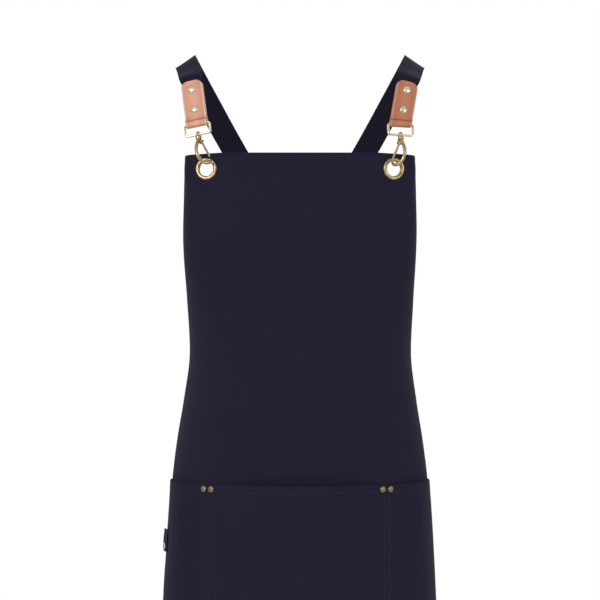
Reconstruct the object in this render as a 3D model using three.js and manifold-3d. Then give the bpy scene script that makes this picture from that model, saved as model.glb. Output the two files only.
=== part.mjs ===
// A cross-back work apron: canvas panel with a bib, a three-part front pocket, crossed straps that
// clip to the bib's eyelets with swivel snap hooks, and sliders and rings behind the waist.
// Millimetres. +X is the viewer's right, -Y the front, +Z up.
// The origin is midway between the shoulders, level with the top of the straps.
import * as THREE from 'three';
import { mergeVertices } from 'three/addons/utils/BufferGeometryUtils.js';
import Module from 'manifold-3d';

const wasm = await Module();
wasm.setup();

// ---- Driving dimensions ----
const GAP = 0.3; // clearance between touching pieces
const CLOTH_THICKNESS = 1.0;
const FACING_THICKNESS = 0.8;
const BIB_TOP_Z = -131.5; // height of the bib's top edge
const APRON_LENGTH = 860; // bib top to hem
const BIB_TOP_WIDTH = 320; // flat width of the bib's top edge
const SKIRT_WIDTH = 660; // flat width below the waist corners
const WAIST_DROP = 278; // bib top to the waist corners
const FACING_DEPTH = 62; // reinforcement behind the bib's top
const POCKET_DROP = 417; // bib top to the pocket mouth
const POCKET_DEPTH = 200;
const POCKET_WIDTH = 560;
const POCKET_SEAM_LEFT = -121; // seams that divide the pocket, along the cloth from its centre line
const POCKET_SEAM_RIGHT = 112;
const POCKET_BULGE_CENTRE = 12; // how far each pocket mouth stands open
const POCKET_BULGE_SIDE = 7.5;
const POCKET_SIDE_SKEW = 0.5; // below 1, a side mouth is widest near its seam
const POCKET_RIVET_SPACING = 11.2;
const POCKET_RIVET_BELOW_MOUTH = 6;
const SMALL_RIVET_DIAMETER = 8.5;
const LOOP_WIDTH = 22; // towel loop
const LOOP_HEIGHT = 29;
const LOOP_STANDOFF = 1.4;
const LOOP_THICKNESS = 1.0;
const LOOP_DROP = 479; // bib top to the loop's upper end
const LOOP_PLACE = -205; // along the cloth from its centre line
const EYELET_OUTER_DIAMETER = 27.5;
const EYELET_HOLE_DIAMETER = 18.5;
const EYELET_FROM_SIDE = 42; // eyelet centre to the bib's side edge
const EYELET_FROM_TOP = 20;
const EYELET_WALL = 0.8;
const STRAP_WIDTH = 31;
const STRAP_THICKNESS = 1.6;
const TAB_WIDTH = STRAP_WIDTH - 3.5; // leather tab that joins a strap to its snap hook
const TAB_LENGTH = 57;
const TAB_THICKNESS = 1.8;
const TAB_RIVET_DIAMETER = 10;
const TAB_RIVET_FROM_TOP = 11.5;
const TAB_RIVET_SPACING = TAB_LENGTH - 30.5;
const FRAME_WIDTH = TAB_WIDTH + 6.5; // snap hook's band loop
const FRAME_HEIGHT = 16;
const FRAME_BAND = 1.9;
const FRAME_DEPTH = 5;
const STEM_DIAMETER = 3;
const STEM_CLEARANCE = 0.3;
const NECK_DIAMETER = 7.6;
const NECK_LENGTH = 4.6;
const HOOK_WIRE = 4.2;
const GATE_WIRE = 2.6;
const GATE_PIN_DIAMETER = 1.6;
const SPRING_WIRE = 0.5;
const SPRING_TURNS = 3;
const SLIDER_WIDTH = STRAP_WIDTH + 7;
const SLIDER_HEIGHT = 22;
const SLIDER_BAR = 3;
const SLIDER_THICKNESS = 1.6;
const SLIDER_ABOVE_RING = 46;
const RING_WIDTH = STRAP_WIDTH + 8;
const RING_HEIGHT = 15;
const RING_WIRE = 3;
const RING_SWAY = 0.8; // room that the strap's turn and the tab's fold leave the ring
const RING_TAB_WIDTH = STRAP_WIDTH - 2; // leather tab that joins a ring to the panel's waist corner
const RING_TAB_THICKNESS = 1.6;
const RING_TAB_FROM_EDGE = 20;
const RING_TAB_BELOW_CORNER = 4;
const RING_TAB_REACH = 31; // its rivet to the ring's lower bar
const RING_TAB_END = 10; // its rivet to its lower end
// The tab's flat leaves stand this far off the curved panel, more as the tab is wider.
const RING_TAB_EASE = 4.2 * (RING_TAB_WIDTH / 29) ** 2;

// The wearer's shape that the cloth follows, by drop below the bib's top edge: half width at the
// widest point, the depth of the front, of that widest point and of the back, and how square the
// section is (2 is an ellipse).
const BODY_SECTIONS = [
  { drop: -10, half: 145.4, front: -113, side: -62, back: 96, square: 4.0 },
  { drop: 55, half: 146.8, front: -115, side: -58, back: 100, square: 3.7 },
  { drop: 110, half: 148.6, front: -116, side: -42, back: 104, square: 3.1 },
  { drop: 184, half: 145.2, front: -115, side: -18, back: 106, square: 2.7 },
  { drop: 249, half: 142.8, front: -114, side: -2, back: 108, square: 2.4 },
  { drop: 314, half: 150.2, front: -114, side: 0, back: 112, square: 2.3 },
  { drop: 366, half: 158.3, front: -115, side: 0, back: 116, square: 2.2 },
  { drop: 417, half: 164.2, front: -115, side: 0, back: 118, square: 2.2 },
  { drop: 574, half: 174.8, front: -117, side: 0, back: 120, square: 2.2 },
  { drop: 870, half: 184.0, front: -121, side: 0, back: 124, square: 2.2 },
];

// What differs between the two sides: where each snap hook's frame hangs, how the leather tab and
// the frame lean in the plane of the bib, and how far the hook has swivelled in its frame.
const SIDES = {
  left: { sign: -1, frame: [-128.8, -114.5, -96.0], tabLean: 11.3, frameLean: 10.6, hookTurn: 42 },
  right: { sign: 1, frame: [125.6, -114.5, -96.4], tabLean: 13.6, frameLean: 2.4, hookTurn: 48 },
};
const FRONT_YAW = 16; // hooks and tabs face this far outwards, in degrees
const FRONT_PITCH = 12; // and lean back this far

// The strap's centre line and the direction across it, for the strap that starts at the left
// shoulder; the right one is its mirror image. The first stretch, in the tab, is set by the tab.
const STRAP_ROUTE = [
  { at: [-141.5, -66, -24], across: [0.85, -0.28, 0.44] },
  { at: [-146.6, -28, -11], across: [0.78, -0.4, 0.48] },
  { at: [-147.6, 4, -9], across: [0.77, -0.42, 0.47] },
  { at: [-138.6, 46, -25], across: [0.84, -0.25, 0.48] },
  { at: [-119.4, 76, -60], across: [0.87, -0.1, 0.48] },
  { at: [-99.1, 93, -97], across: [0.87, 0, 0.5] },
  { at: [-68.8, 107, -150], across: [0.87, 0, 0.5] },
  { at: [-30.5, 117, -216], across: [0.87, 0, 0.5] },
];
const CROSS_Z = -270; // where the straps cross behind the back
const CROSS_Y = 120;
const CROSS_OFFSET = STRAP_WIDTH / 8 - 0.375; // half the distance between the crossing straps

// ---- Materials ----
function material(color, roughness, metalness) {
  return new THREE.MeshStandardMaterial({ color, roughness, metalness });
}
const canvas = () => material(0x29263a, 0.9, 0);
const leather = () => material(0xc08a68, 0.6, 0);
const brass = () => material(0xa08b63, 0.35, 0.9);
const steel = () => material(0x8f8f92, 0.35, 0.9);

// ---- Geometry helpers ----
const Y = new THREE.Vector3(0, 1, 0);
const Z = new THREE.Vector3(0, 0, 1);
const ROUND_STEPS = 12; // sides of a turned piece
const EYELET_STEPS = 24; // sides of an eyelet and of the hole it lines
const rad = THREE.MathUtils.degToRad;
const smooth = (v, from, to) => THREE.MathUtils.smoothstep(v, from, to);

function along(origin, ...steps) {
  const point = origin.clone();
  for (const [direction, distance] of steps) point.addScaledVector(direction, distance);
  return point;
}

// A value from the body sections at a drop, by a monotone cubic through the listed ones.
function bodyValue(key, drop) {
  const s = BODY_SECTIONS;
  let i = 0;
  while (i < s.length - 2 && drop > s[i + 1].drop) i += 1;
  const slope = (a) => (s[a + 1][key] - s[a][key]) / (s[a + 1].drop - s[a].drop);
  const tangent = (a) => {
    if (a === 0 || a === s.length - 1) return 0;
    const before = slope(a - 1);
    const after = slope(a);
    return before * after <= 0 ? 0 : (2 * before * after) / (before + after);
  };
  const width = s[i + 1].drop - s[i].drop;
  const t = (drop - s[i].drop) / width;
  const h00 = 2 * t ** 3 - 3 * t ** 2 + 1;
  const h10 = t ** 3 - 2 * t ** 2 + t;
  const h01 = 3 * t ** 2 - 2 * t ** 3;
  const h11 = t ** 3 - t ** 2;
  const ends = h00 * s[i][key] + h01 * s[i + 1][key];
  return ends + width * (h10 * tangent(i) + h11 * tangent(i + 1));
}

// One horizontal section of the body, as points with their distance along it from the front.
const sections = new Map();
function section(drop) {
  if (sections.has(drop)) return sections.get(drop);
  const half = bodyValue('half', drop);
  const front = bodyValue('front', drop);
  const side = bodyValue('side', drop);
  const back = bodyValue('back', drop);
  const power = 2 / bodyValue('square', drop);
  const points = [];
  const steps = 360;
  let length = 0;
  for (let i = 0; i <= steps; i += 1) {
    const turn = (Math.PI * i) / steps;
    const cosine = Math.cos(turn);
    const reach = cosine > 0 ? side - front : back - side;
    const x = half * Math.sin(turn) ** power;
    const y = side - reach * Math.sign(cosine) * Math.abs(cosine) ** power;
    if (i > 0) length += Math.hypot(x - points[i - 1].x, y - points[i - 1].y);
    points.push({ x, y, length });
  }
  sections.set(drop, points);
  return points;
}

// The cloth's middle surface: the point at a distance across from the centre line and a drop below
// the bib's top, with its outward normal.
function wrap(across, drop) {
  const points = section(drop);
  const distance = Math.abs(across);
  let i = 1;
  while (i < points.length - 1 && points[i].length < distance) i += 1;
  const a = points[i - 1];
  const b = points[i];
  const t = (distance - a.length) / (b.length - a.length);
  const sign = across < 0 ? -1 : 1;
  const at = new THREE.Vector3(sign * (a.x + t * (b.x - a.x)), a.y + t * (b.y - a.y), BIB_TOP_Z - drop);
  const before = points[Math.max(i - 4, 0)];
  const after = points[Math.min(i + 3, points.length - 1)];
  const normal = new THREE.Vector3(sign * (after.y - before.y), before.x - after.x, 0).normalize();
  if (distance < 1) normal.set(0, -1, 0);
  return { at, normal };
}

const EYELET_PLACE = BIB_TOP_WIDTH / 2 - EYELET_FROM_SIDE;
const FLAT_INNER = EYELET_OUTER_DIAMETER * 0.8; // cloth lies flat this far round an eyelet
const FLAT_OUTER = EYELET_OUTER_DIAMETER * 1.6;

// A point on the cloth, stood off along the normal. Round each eyelet the cloth is flat.
function cloth(across, drop, off = 0) {
  const spot = wrap(across, drop);
  const near = Math.hypot(Math.abs(across) - EYELET_PLACE, drop - EYELET_FROM_TOP);
  if (near < FLAT_OUTER) {
    const flat = wrap(Math.sign(across) * EYELET_PLACE, EYELET_FROM_TOP);
    const height = spot.at.clone().sub(flat.at).dot(flat.normal);
    const share = 1 - smooth(near, FLAT_INNER, FLAT_OUTER);
    spot.at.addScaledVector(flat.normal, -height * share);
    spot.normal.lerp(flat.normal, share).normalize();
  }
  return spot.at.addScaledVector(spot.normal, off);
}

// The panel's side edge: a free armhole curve above the waist corners, straight below.
const armhole = new THREE.CubicBezierCurve(
  new THREE.Vector2(BIB_TOP_WIDTH / 2, 0),
  new THREE.Vector2(BIB_TOP_WIDTH / 2 + 12, 0.2 * WAIST_DROP),
  new THREE.Vector2(BIB_TOP_WIDTH / 2 + 50, 0.7 * WAIST_DROP),
  new THREE.Vector2(SKIRT_WIDTH / 2, WAIST_DROP),
).getPoints(120);
function edgeHalf(drop) {
  if (drop >= WAIST_DROP) return SKIRT_WIDTH / 2;
  const i = Math.max(1, armhole.findIndex((p) => p.y >= drop));
  const a = armhole[i - 1];
  const b = armhole[i];
  return a.x + ((drop - a.y) / (b.y - a.y)) * (b.x - a.x);
}

// Breakpoints with even steps between them, none longer than the one given.
function divide(breaks, longest) {
  const stops = [breaks[0]];
  for (let i = 1; i < breaks.length; i += 1) {
    const count = Math.ceil((breaks[i] - breaks[i - 1]) / longest - 1e-6);
    for (let j = 1; j <= count; j += 1) stops.push(breaks[i - 1] + ((breaks[i] - breaks[i - 1]) * j) / count);
  }
  return stops;
}

// A closed solid from two layers of points, layer[row][column].
function twoLayers(outer, inner) {
  const rows = outer.length;
  const columns = outer[0].length;
  const positions = [];
  for (const row of [...outer, ...inner]) row.forEach((p) => positions.push(p.x, p.y, p.z));
  const index = [];
  const id = (layer, r, c) => (layer * rows + r) * columns + c;
  const quad = (a, b, c, d) => index.push(a, b, c, a, c, d);
  for (let r = 0; r < rows - 1; r += 1) {
    for (let c = 0; c < columns - 1; c += 1) {
      quad(id(0, r, c), id(0, r + 1, c), id(0, r + 1, c + 1), id(0, r, c + 1));
      quad(id(1, r, c), id(1, r, c + 1), id(1, r + 1, c + 1), id(1, r + 1, c));
    }
    quad(id(0, r, 0), id(1, r, 0), id(1, r + 1, 0), id(0, r + 1, 0));
    quad(id(0, r, columns - 1), id(0, r + 1, columns - 1), id(1, r + 1, columns - 1), id(1, r, columns - 1));
  }
  for (let c = 0; c < columns - 1; c += 1) {
    quad(id(0, 0, c), id(0, 0, c + 1), id(1, 0, c + 1), id(1, 0, c));
    quad(id(0, rows - 1, c), id(1, rows - 1, c), id(1, rows - 1, c + 1), id(0, rows - 1, c + 1));
  }
  const geometry = new THREE.BufferGeometry();
  geometry.setAttribute('position', new THREE.Float32BufferAttribute(positions, 3));
  geometry.setIndex(index);
  return facingOut(geometry);
}

function signedVolume(geometry) {
  const p = geometry.getAttribute('position');
  const index = geometry.index;
  const corner = (i) => new THREE.Vector3().fromBufferAttribute(p, index ? index.getX(i) : i);
  const count = index ? index.count : p.count;
  let volume = 0;
  for (let i = 0; i < count; i += 3) volume += corner(i).dot(corner(i + 1).cross(corner(i + 2))) / 6;
  return volume;
}

// The same geometry with its faces pointing out.
function facingOut(geometry) {
  if (signedVolume(geometry) >= 0) return geometry;
  const turned = geometry.index ? geometry : mergeVertices(geometry);
  const order = turned.index.array;
  for (let i = 0; i < order.length; i += 3) [order[i + 1], order[i + 2]] = [order[i + 2], order[i + 1]];
  return turned;
}

function solid(geometry) {
  const bare = geometry.clone();
  bare.deleteAttribute('normal');
  bare.deleteAttribute('uv');
  const merged = mergeVertices(bare, 1e-4);
  const vertProperties = new Float32Array(merged.getAttribute('position').array);
  const triVerts = new Uint32Array(merged.index.array);
  return new wasm.Manifold(new wasm.Mesh({ numProp: 3, vertProperties, triVerts }));
}

function geometryOf(manifold) {
  const mesh = manifold.getMesh();
  const geometry = new THREE.BufferGeometry();
  geometry.setAttribute('position', new THREE.Float32BufferAttribute(mesh.vertProperties, 3));
  geometry.setIndex(new THREE.BufferAttribute(mesh.triVerts, 1));
  return geometry;
}

const join = (...pieces) => geometryOf(pieces.map(solid).reduce((a, b) => a.add(b)));
const cut = (piece, ...tools) => geometryOf(tools.map(solid).reduce((a, b) => a.subtract(b), solid(piece)));

// A place with its own axes: columns are the local X, Y and Z directions.
function placed(at, x, y, z) {
  return new THREE.Matrix4().makeBasis(x, y, z).setPosition(at);
}

// Axes with Z along a direction and X as near as possible to a second one.
function facing(at, direction, sideways) {
  const z = direction.clone().normalize();
  const x = sideways.clone().addScaledVector(z, -sideways.dot(z)).normalize();
  return placed(at, x, z.clone().cross(x), z);
}

// A turned piece from a profile of [radius, height] about local Z.
function turned(profile, matrix, steps = ROUND_STEPS) {
  const points = profile.map(([r, h]) => new THREE.Vector2(r, h));
  const geometry = new THREE.LatheGeometry(points, steps).rotateX(Math.PI / 2);
  return facingOut(mergeVertices(bareOf(geometry), 1e-4).applyMatrix4(matrix));
}

function bareOf(geometry) {
  geometry.deleteAttribute('normal');
  geometry.deleteAttribute('uv');
  return geometry;
}

function bar(radius, from, to, matrix, steps = ROUND_STEPS) {
  return turned([[0, from], [radius, from], [radius, to], [0, to]], matrix, steps);
}

// A rivet: domed cap in front, shank through the layers, flat washer behind. Heights are along the
// axis from the middle of the layers.
function rivetGeometry(matrix, diameter, front, behind) {
  const cap = diameter / 2;
  const shank = rivetShank(diameter);
  return turned([
    [0, behind - 0.8],
    [0.8 * cap, behind - 0.8],
    [0.8 * cap, behind],
    [shank, behind],
    [shank, front],
    [cap, front],
    [0.94 * cap, front + 0.12 * diameter],
    [0.6 * cap, front + 0.21 * diameter],
    [0, front + 0.24 * diameter],
  ], matrix);
}
const rivetShank = (diameter) => 0.17 * diameter;
const rivetHole = (diameter, matrix, reach) => bar(rivetShank(diameter) + 0.25, -reach, reach, matrix);

// A plate with a hole, from two rounded rectangles about local X and Y, from one height to another.
function roundedRect(path, width, height, radius) {
  const w = width / 2;
  const h = height / 2;
  const corners = [
    [w - radius, radius - h, -0.5],
    [w - radius, h - radius, 0],
    [radius - w, h - radius, 0.5],
    [radius - w, radius - h, 1],
  ];
  for (const [x, y, turn] of corners) {
    path.absarc(x, y, radius, turn * Math.PI, (turn + 0.5) * Math.PI, false);
  }
  path.closePath();
  return path;
}
function plate(shape, from, to, matrix) {
  const settings = { depth: to - from, bevelEnabled: false, curveSegments: 3 };
  const geometry = new THREE.ExtrudeGeometry(shape, settings);
  return facingOut(bareOf(geometry.translate(0, 0, from)).applyMatrix4(matrix));
}

// A round wire along a curve, with an even number of sides.
function wire(points, radius, steps, sides) {
  const circle = new THREE.Shape().absarc(0, 0, radius, 0, 2 * Math.PI, false);
  const path = new THREE.CatmullRomCurve3(points, false, 'centripetal');
  const settings = { extrudePath: path, steps, bevelEnabled: false, curveSegments: sides / 2 };
  return facingOut(bareOf(new THREE.ExtrudeGeometry(circle, settings)));
}

// A flat band through stations of { at, across, out }, each a unit direction but the place.
function band(stations, widthAt, thickness) {
  const layer = (side) => stations.map(({ at, across, out }, i) => {
    const half = widthAt(i) / 2;
    const off = (side * thickness) / 2;
    return [-1, -0.3, 0.3, 1].map((share) => along(at, [across, share * half], [out, off]));
  });
  return twoLayers(layer(1), layer(-1));
}

const root = new THREE.Group();
root.name = 'apron';
function add(name, geometry, look) {
  const mesh = new THREE.Mesh(geometry, look);
  mesh.name = name;
  root.add(mesh);
}

// ---- Where each strap's straight stretch runs, from the crossing to its waist corner ----
const turnRadius = RING_WIRE / 2 + GAP + RING_SWAY + STRAP_THICKNESS / 2;

// The straight stretch behind the back, from the crossing to the ring at one waist corner.
function backRun(endSign) {
  const fromEdge = SKIRT_WIDTH / 2 - RING_TAB_FROM_EDGE;
  const corner = wrap(endSign * fromEdge, WAIST_DROP + RING_TAB_BELOW_CORNER);
  const cross = new THREE.Vector3(0, CROSS_Y - endSign * CROSS_OFFSET, CROSS_Z);
  const down = corner.at.clone().sub(cross).normalize();
  const out = corner.normal.clone().addScaledVector(down, -corner.normal.dot(down)).normalize();
  const across = out.clone().cross(down).multiplyScalar(endSign).negate();
  const lowBar = along(corner.at, [down, -RING_TAB_REACH]);
  const ring = along(lowBar, [down, -(RING_HEIGHT - RING_WIRE)]);
  const slider = along(ring, [down, -SLIDER_ABOVE_RING], [out, turnRadius]);
  return { cross, corner: corner.at, down, out, across, lowBar, ring, slider };
}

function ringTabHoles() {
  return [-1, 1].map((sign) => {
    const { corner, out, down } = backRun(sign);
    return rivetHole(TAB_RIVET_DIAMETER, facing(corner, out, down), 8);
  });
}

// ---- Panel, facing and pocket ----
const halfCloth = CLOTH_THICKNESS / 2;
const facingMiddle = -(halfCloth + GAP + FACING_THICKNESS / 2);
const flatReach = 0.55 * EYELET_OUTER_DIAMETER; // the panel's mesh is flat this far round an eyelet
const eyeletShare = EYELET_PLACE / (BIB_TOP_WIDTH / 2);
const flatShare = flatReach / (BIB_TOP_WIDTH / 2);
const pocketHalf = POCKET_WIDTH / 2;
const skirtHalf = SKIRT_WIDTH / 2;
const tabPlace = skirtHalf - RING_TAB_FROM_EDGE;
const seamFlat = POCKET_RIVET_SPACING / 2 + SMALL_RIVET_DIAMETER / 2;
const seams = [POCKET_SEAM_LEFT, POCKET_SEAM_RIGHT];
const seamStops = seams.flatMap((seam) => [seam - seamFlat, seam, seam + seamFlat]);
const sidePeaks = seams.map((seam) => {
  const span = pocketHalf - Math.abs(seam) - 2 * seamFlat;
  return seam + Math.sign(seam) * (seamFlat + span * 0.5 ** (1 / POCKET_SIDE_SKEW));
});
const columnBreaks = [
  -1,
  -pocketHalf / skirtHalf,
  -(eyeletShare + flatShare),
  -(eyeletShare - flatShare),
  ...[...seamStops, ...sidePeaks].map((across) => across / skirtHalf),
  0,
  eyeletShare - flatShare,
  eyeletShare + flatShare,
  pocketHalf / skirtHalf,
  (LOOP_PLACE - LOOP_WIDTH / 2) / skirtHalf,
  (LOOP_PLACE + LOOP_WIDTH / 2) / skirtHalf,
  ...[-1, 1].flatMap((side) => [-0.5, 0.5].map((n) => (side * (tabPlace + n * RING_TAB_WIDTH)) / skirtHalf)),
  1,
].sort((a, b) => a - b);
const columns = divide(columnBreaks, 0.14);
const flatRows = [EYELET_FROM_TOP - flatReach, EYELET_FROM_TOP + flatReach];
const bibRows = divide([0, ...flatRows, FACING_DEPTH, WAIST_DROP], 42);
const skirtRows = divide([WAIST_DROP, POCKET_DROP, POCKET_DROP + POCKET_DEPTH, APRON_LENGTH], 82);
const rows = [...bibRows, ...skirtRows.slice(1)];

function clothSolid(rowList, acrossOf, outerOff, innerOff) {
  const layer = (off) => rowList.map((drop) => acrossOf(drop).map((a) => cloth(a, drop, off(a, drop))));
  return twoLayers(layer(outerOff), layer(innerOff));
}

function eyeletAxes(sign) {
  const spot = wrap(sign * EYELET_PLACE, EYELET_FROM_TOP);
  return facing(spot.at, spot.normal, Z);
}
const eyeletHoles = Object.values(SIDES).map(({ sign }) => (
  bar(EYELET_HOLE_DIAMETER / 2 + EYELET_WALL + GAP, -6, 6, eyeletAxes(sign), EYELET_STEPS)));

function clothAxes(across, drop) {
  const spot = wrap(across, drop);
  return facing(spot.at, spot.normal, Z);
}
const pocketRivets = [];
for (const [side, seam] of [['left', POCKET_SEAM_LEFT], ['right', POCKET_SEAM_RIGHT]]) {
  for (const [place, step] of [['a', -0.5], ['b', 0.5]]) {
    const across = seam + step * POCKET_RIVET_SPACING;
    const axes = clothAxes(across, POCKET_DROP + POCKET_RIVET_BELOW_MOUTH);
    pocketRivets.push({ name: `pocket_rivet_${side}_${place}`, axes });
  }
}
const pocketRivetHoles = pocketRivets.map(({ axes }) => rivetHole(SMALL_RIVET_DIAMETER, axes, 8));

const panelPlain = clothSolid(
  rows,
  (drop) => columns.map((u) => u * edgeHalf(drop)),
  () => halfCloth,
  () => -halfCloth,
);

const facingRows = rows.filter((drop) => drop <= FACING_DEPTH);
const facingPlain = clothSolid(
  facingRows,
  (drop) => columns.map((u) => u * edgeHalf(drop)),
  () => facingMiddle + FACING_THICKNESS / 2,
  () => facingMiddle - FACING_THICKNESS / 2,
);

// The pocket is sewn down at its ends, along its bottom and at two seams; each of its three mouths
// stands open between them. The side mouths open widest near the front.
const MOUTHS = [
  { from: POCKET_SEAM_LEFT, to: -pocketHalf, bulge: POCKET_BULGE_SIDE, skew: POCKET_SIDE_SKEW, peak: 4 },
  { from: POCKET_SEAM_LEFT, to: POCKET_SEAM_RIGHT, bulge: POCKET_BULGE_CENTRE, skew: 1, peak: 1 },
  { from: POCKET_SEAM_RIGHT, to: pocketHalf, bulge: POCKET_BULGE_SIDE, skew: POCKET_SIDE_SKEW, peak: 4 },
];
function pocketLift(across, drop) {
  const mouth = MOUTHS[across < POCKET_SEAM_LEFT ? 0 : across > POCKET_SEAM_RIGHT ? 2 : 1];
  const span = Math.abs(mouth.to - mouth.from) - 2 * seamFlat;
  const t = THREE.MathUtils.clamp((Math.abs(across - mouth.from) - seamFlat) / span, 0, 1);
  const down = THREE.MathUtils.clamp((drop - POCKET_DROP) / POCKET_DEPTH, 0, 1);
  const fall = Math.max(Math.cos((Math.PI / 2) * down), 0) ** 0.8;
  return mouth.bulge * Math.max(Math.sin(Math.PI * t ** mouth.skew), 0) ** mouth.peak * fall;
}
const pocketRows = rows.filter((drop) => drop >= POCKET_DROP && drop <= POCKET_DROP + POCKET_DEPTH);
const pocketColumns = columns.map((u) => u * skirtHalf).filter((a) => Math.abs(a) <= pocketHalf + 1e-6);
const pocketFloor = halfCloth + GAP;
const pocketPlain = clothSolid(
  pocketRows,
  () => pocketColumns,
  (a, drop) => pocketFloor + CLOTH_THICKNESS + pocketLift(a, drop),
  (a, drop) => pocketFloor + pocketLift(a, drop),
);

// ---- Towel loop: a strip that stands off the pocket's side, turned under and riveted below ----
const loopAxes = clothAxes(LOOP_PLACE, LOOP_DROP + LOOP_HEIGHT / 2);
const loopBase = pocketFloor + CLOTH_THICKNESS + pocketLift(LOOP_PLACE, LOOP_DROP) + GAP;
const loopMiddle = new THREE.Vector3().setFromMatrixColumn(loopAxes, 2);
const loopSide = new THREE.Vector3().setFromMatrixColumn(loopAxes, 1);
const loopAt = new THREE.Vector3().setFromMatrixPosition(loopAxes);
const loopProfile = [[0.5, 0], [0.36, 0.2], [0.16, 0.75], [-0.06, 1], [-0.44, 1], [-0.49, 0.8], [-0.5, 0.2]];
const loopStations = loopProfile.map(([up, out], i) => {
  const before = loopProfile[Math.max(i - 1, 0)];
  const after = loopProfile[Math.min(i + 1, loopProfile.length - 1)];
  const rise = (after[1] - before[1]) * LOOP_STANDOFF;
  const run = (after[0] - before[0]) * LOOP_HEIGHT;
  const normal = loopMiddle.clone().multiplyScalar(-run).addScaledVector(Z, rise).normalize();
  const depth = loopBase + LOOP_THICKNESS / 2 + out * LOOP_STANDOFF;
  const at = along(loopAt, [Z, up * LOOP_HEIGHT], [loopMiddle, depth]);
  return { at, across: loopSide, out: normal };
});
const loopRivetAxes = facing(along(loopAt, [Z, -0.25 * LOOP_HEIGHT]), loopMiddle, Z);
const loopHole = rivetHole(SMALL_RIVET_DIAMETER, loopRivetAxes, 12);
const panelHoles = [...eyeletHoles, ...pocketRivetHoles, loopHole, ...ringTabHoles()];
add('body_panel', cut(panelPlain, ...panelHoles), canvas());
add('bib_facing', cut(facingPlain, ...eyeletHoles), canvas());
add('pocket_panel', cut(pocketPlain, ...pocketRivetHoles, loopHole), canvas());
add('towel_loop', cut(band(loopStations, () => LOOP_WIDTH, LOOP_THICKNESS), loopHole), canvas());
const loopTop = loopBase + LOOP_STANDOFF + LOOP_THICKNESS + GAP;
add('towel_loop_rivet', rivetGeometry(loopRivetAxes, SMALL_RIVET_DIAMETER, loopTop, -halfCloth - 1), steel());
for (const { name, axes } of pocketRivets) {
  const front = pocketFloor + CLOTH_THICKNESS + GAP;
  add(name, rivetGeometry(axes, SMALL_RIVET_DIAMETER, front, -halfCloth - GAP), brass());
}

// ---- Eyelets: a rolled face with a barrel, and a washer behind ----
for (const [side, { sign }] of Object.entries(SIDES)) {
  const axes = eyeletAxes(sign);
  const inner = EYELET_HOLE_DIAMETER / 2;
  const outer = EYELET_OUTER_DIAMETER / 2;
  const front = halfCloth + GAP;
  const rear = facingMiddle - FACING_THICKNESS / 2 - GAP - 0.2;
  const washer = 0.7;
  const wall = inner + EYELET_WALL;
  add(`eyelet_${side}`, turned([
    [wall, front],
    [outer, front],
    [outer - 0.4, front + 0.8],
    [outer - 1.8, front + 1.4],
    [inner + 1.2, front + 1.2],
    [inner, front + 0.2],
    [inner, rear - washer - GAP],
    [wall, rear - washer - GAP],
    [wall, front],
  ], axes, EYELET_STEPS), brass());
  add(`eyelet_washer_${side}`, turned([
    [wall + GAP, rear],
    [wall + GAP, rear - washer],
    [outer - 0.5, rear - washer],
    [outer - 0.5, rear],
    [wall + GAP, rear],
  ], axes, EYELET_STEPS), brass());
}

// ---- Snap hooks and leather tabs ----
// Directions at one side: out faces the viewer, across runs towards the apron's centre, up climbs
// along the piece. Lean turns it in its own plane; pitch lays its top back.
function frontAxes(sign, lean) {
  const yaw = rad(FRONT_YAW);
  const flatOut = new THREE.Vector3(sign * Math.sin(yaw), -Math.cos(yaw), 0);
  const inward = new THREE.Vector3(-sign * Math.cos(yaw), -Math.sin(yaw), 0);
  const back = Math.sin(rad(FRONT_PITCH));
  const rise = Math.cos(rad(FRONT_PITCH));
  const climb = Z.clone().multiplyScalar(rise).addScaledVector(flatOut, -back);
  const out = flatOut.clone().multiplyScalar(rise).addScaledVector(Z, back);
  const up = climb.multiplyScalar(Math.cos(rad(lean))).addScaledVector(inward, -Math.sin(rad(lean)));
  return { out, up, across: out.clone().cross(up).multiplyScalar(sign) };
}

// The leather's middle line as [height, depth]: front leaf down, round the frame's bar, back leaf up.
const leafDepth = STRAP_THICKNESS / 2 + GAP + TAB_THICKNESS / 2;
const turnDepth = FRAME_DEPTH / 2 + GAP + 0.3 + TAB_THICKNESS / 2;
const turnDrop = FRAME_BAND / 2 + GAP + 0.3 + TAB_THICKNESS / 2;
function tabLine() {
  const leaf = [[TAB_LENGTH, leafDepth], [TAB_LENGTH - 1.2, leafDepth], [TAB_LENGTH - 3.5, leafDepth],
    [TAB_LENGTH - 7.5, leafDepth], [TAB_LENGTH - 13, leafDepth], [TAB_LENGTH * 0.45, leafDepth],
    [11.5, leafDepth], [8, leafDepth + 0.5], [4.5, turnDepth - 0.1], [1, turnDepth + 0.1],
    [-turnDrop + 1.6, turnDepth], [-turnDrop + 0.5, turnDepth - 0.6], [-turnDrop, turnDepth - 1.8]];
  const back = leaf.slice().reverse().map(([height, depth]) => [height, -depth]);
  return [...leaf, ...back];
}
function tabWidth(height) {
  const radius = TAB_WIDTH / 2;
  const below = TAB_LENGTH - height;
  const round = radius * 0.62;
  if (below >= round) return TAB_WIDTH;
  const share = Math.sqrt(1 - ((round - below) / round) ** 2);
  return TAB_WIDTH * (0.42 + 0.58 * share);
}

function tabStations(line, at, axes, skew) {
  const across = axes.across;
  return line.map(([height, depth], i) => {
    const before = line[Math.max(i - 1, 0)];
    const after = line[Math.min(i + 1, line.length - 1)];
    const run = new THREE.Vector2(after[0] - before[0], after[1] - before[1]).normalize();
    const out = axes.out.clone().multiplyScalar(-run.x).addScaledVector(axes.up, run.y);
    const fade = THREE.MathUtils.clamp(1 - height / (0.5 * TAB_LENGTH), 0, 1);
    const slope = across.clone().addScaledVector(axes.up, -Math.tan(rad(skew)) * fade);
    return { at: along(at, [axes.up, height], [axes.out, depth]), across: slope, out };
  });
}

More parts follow.
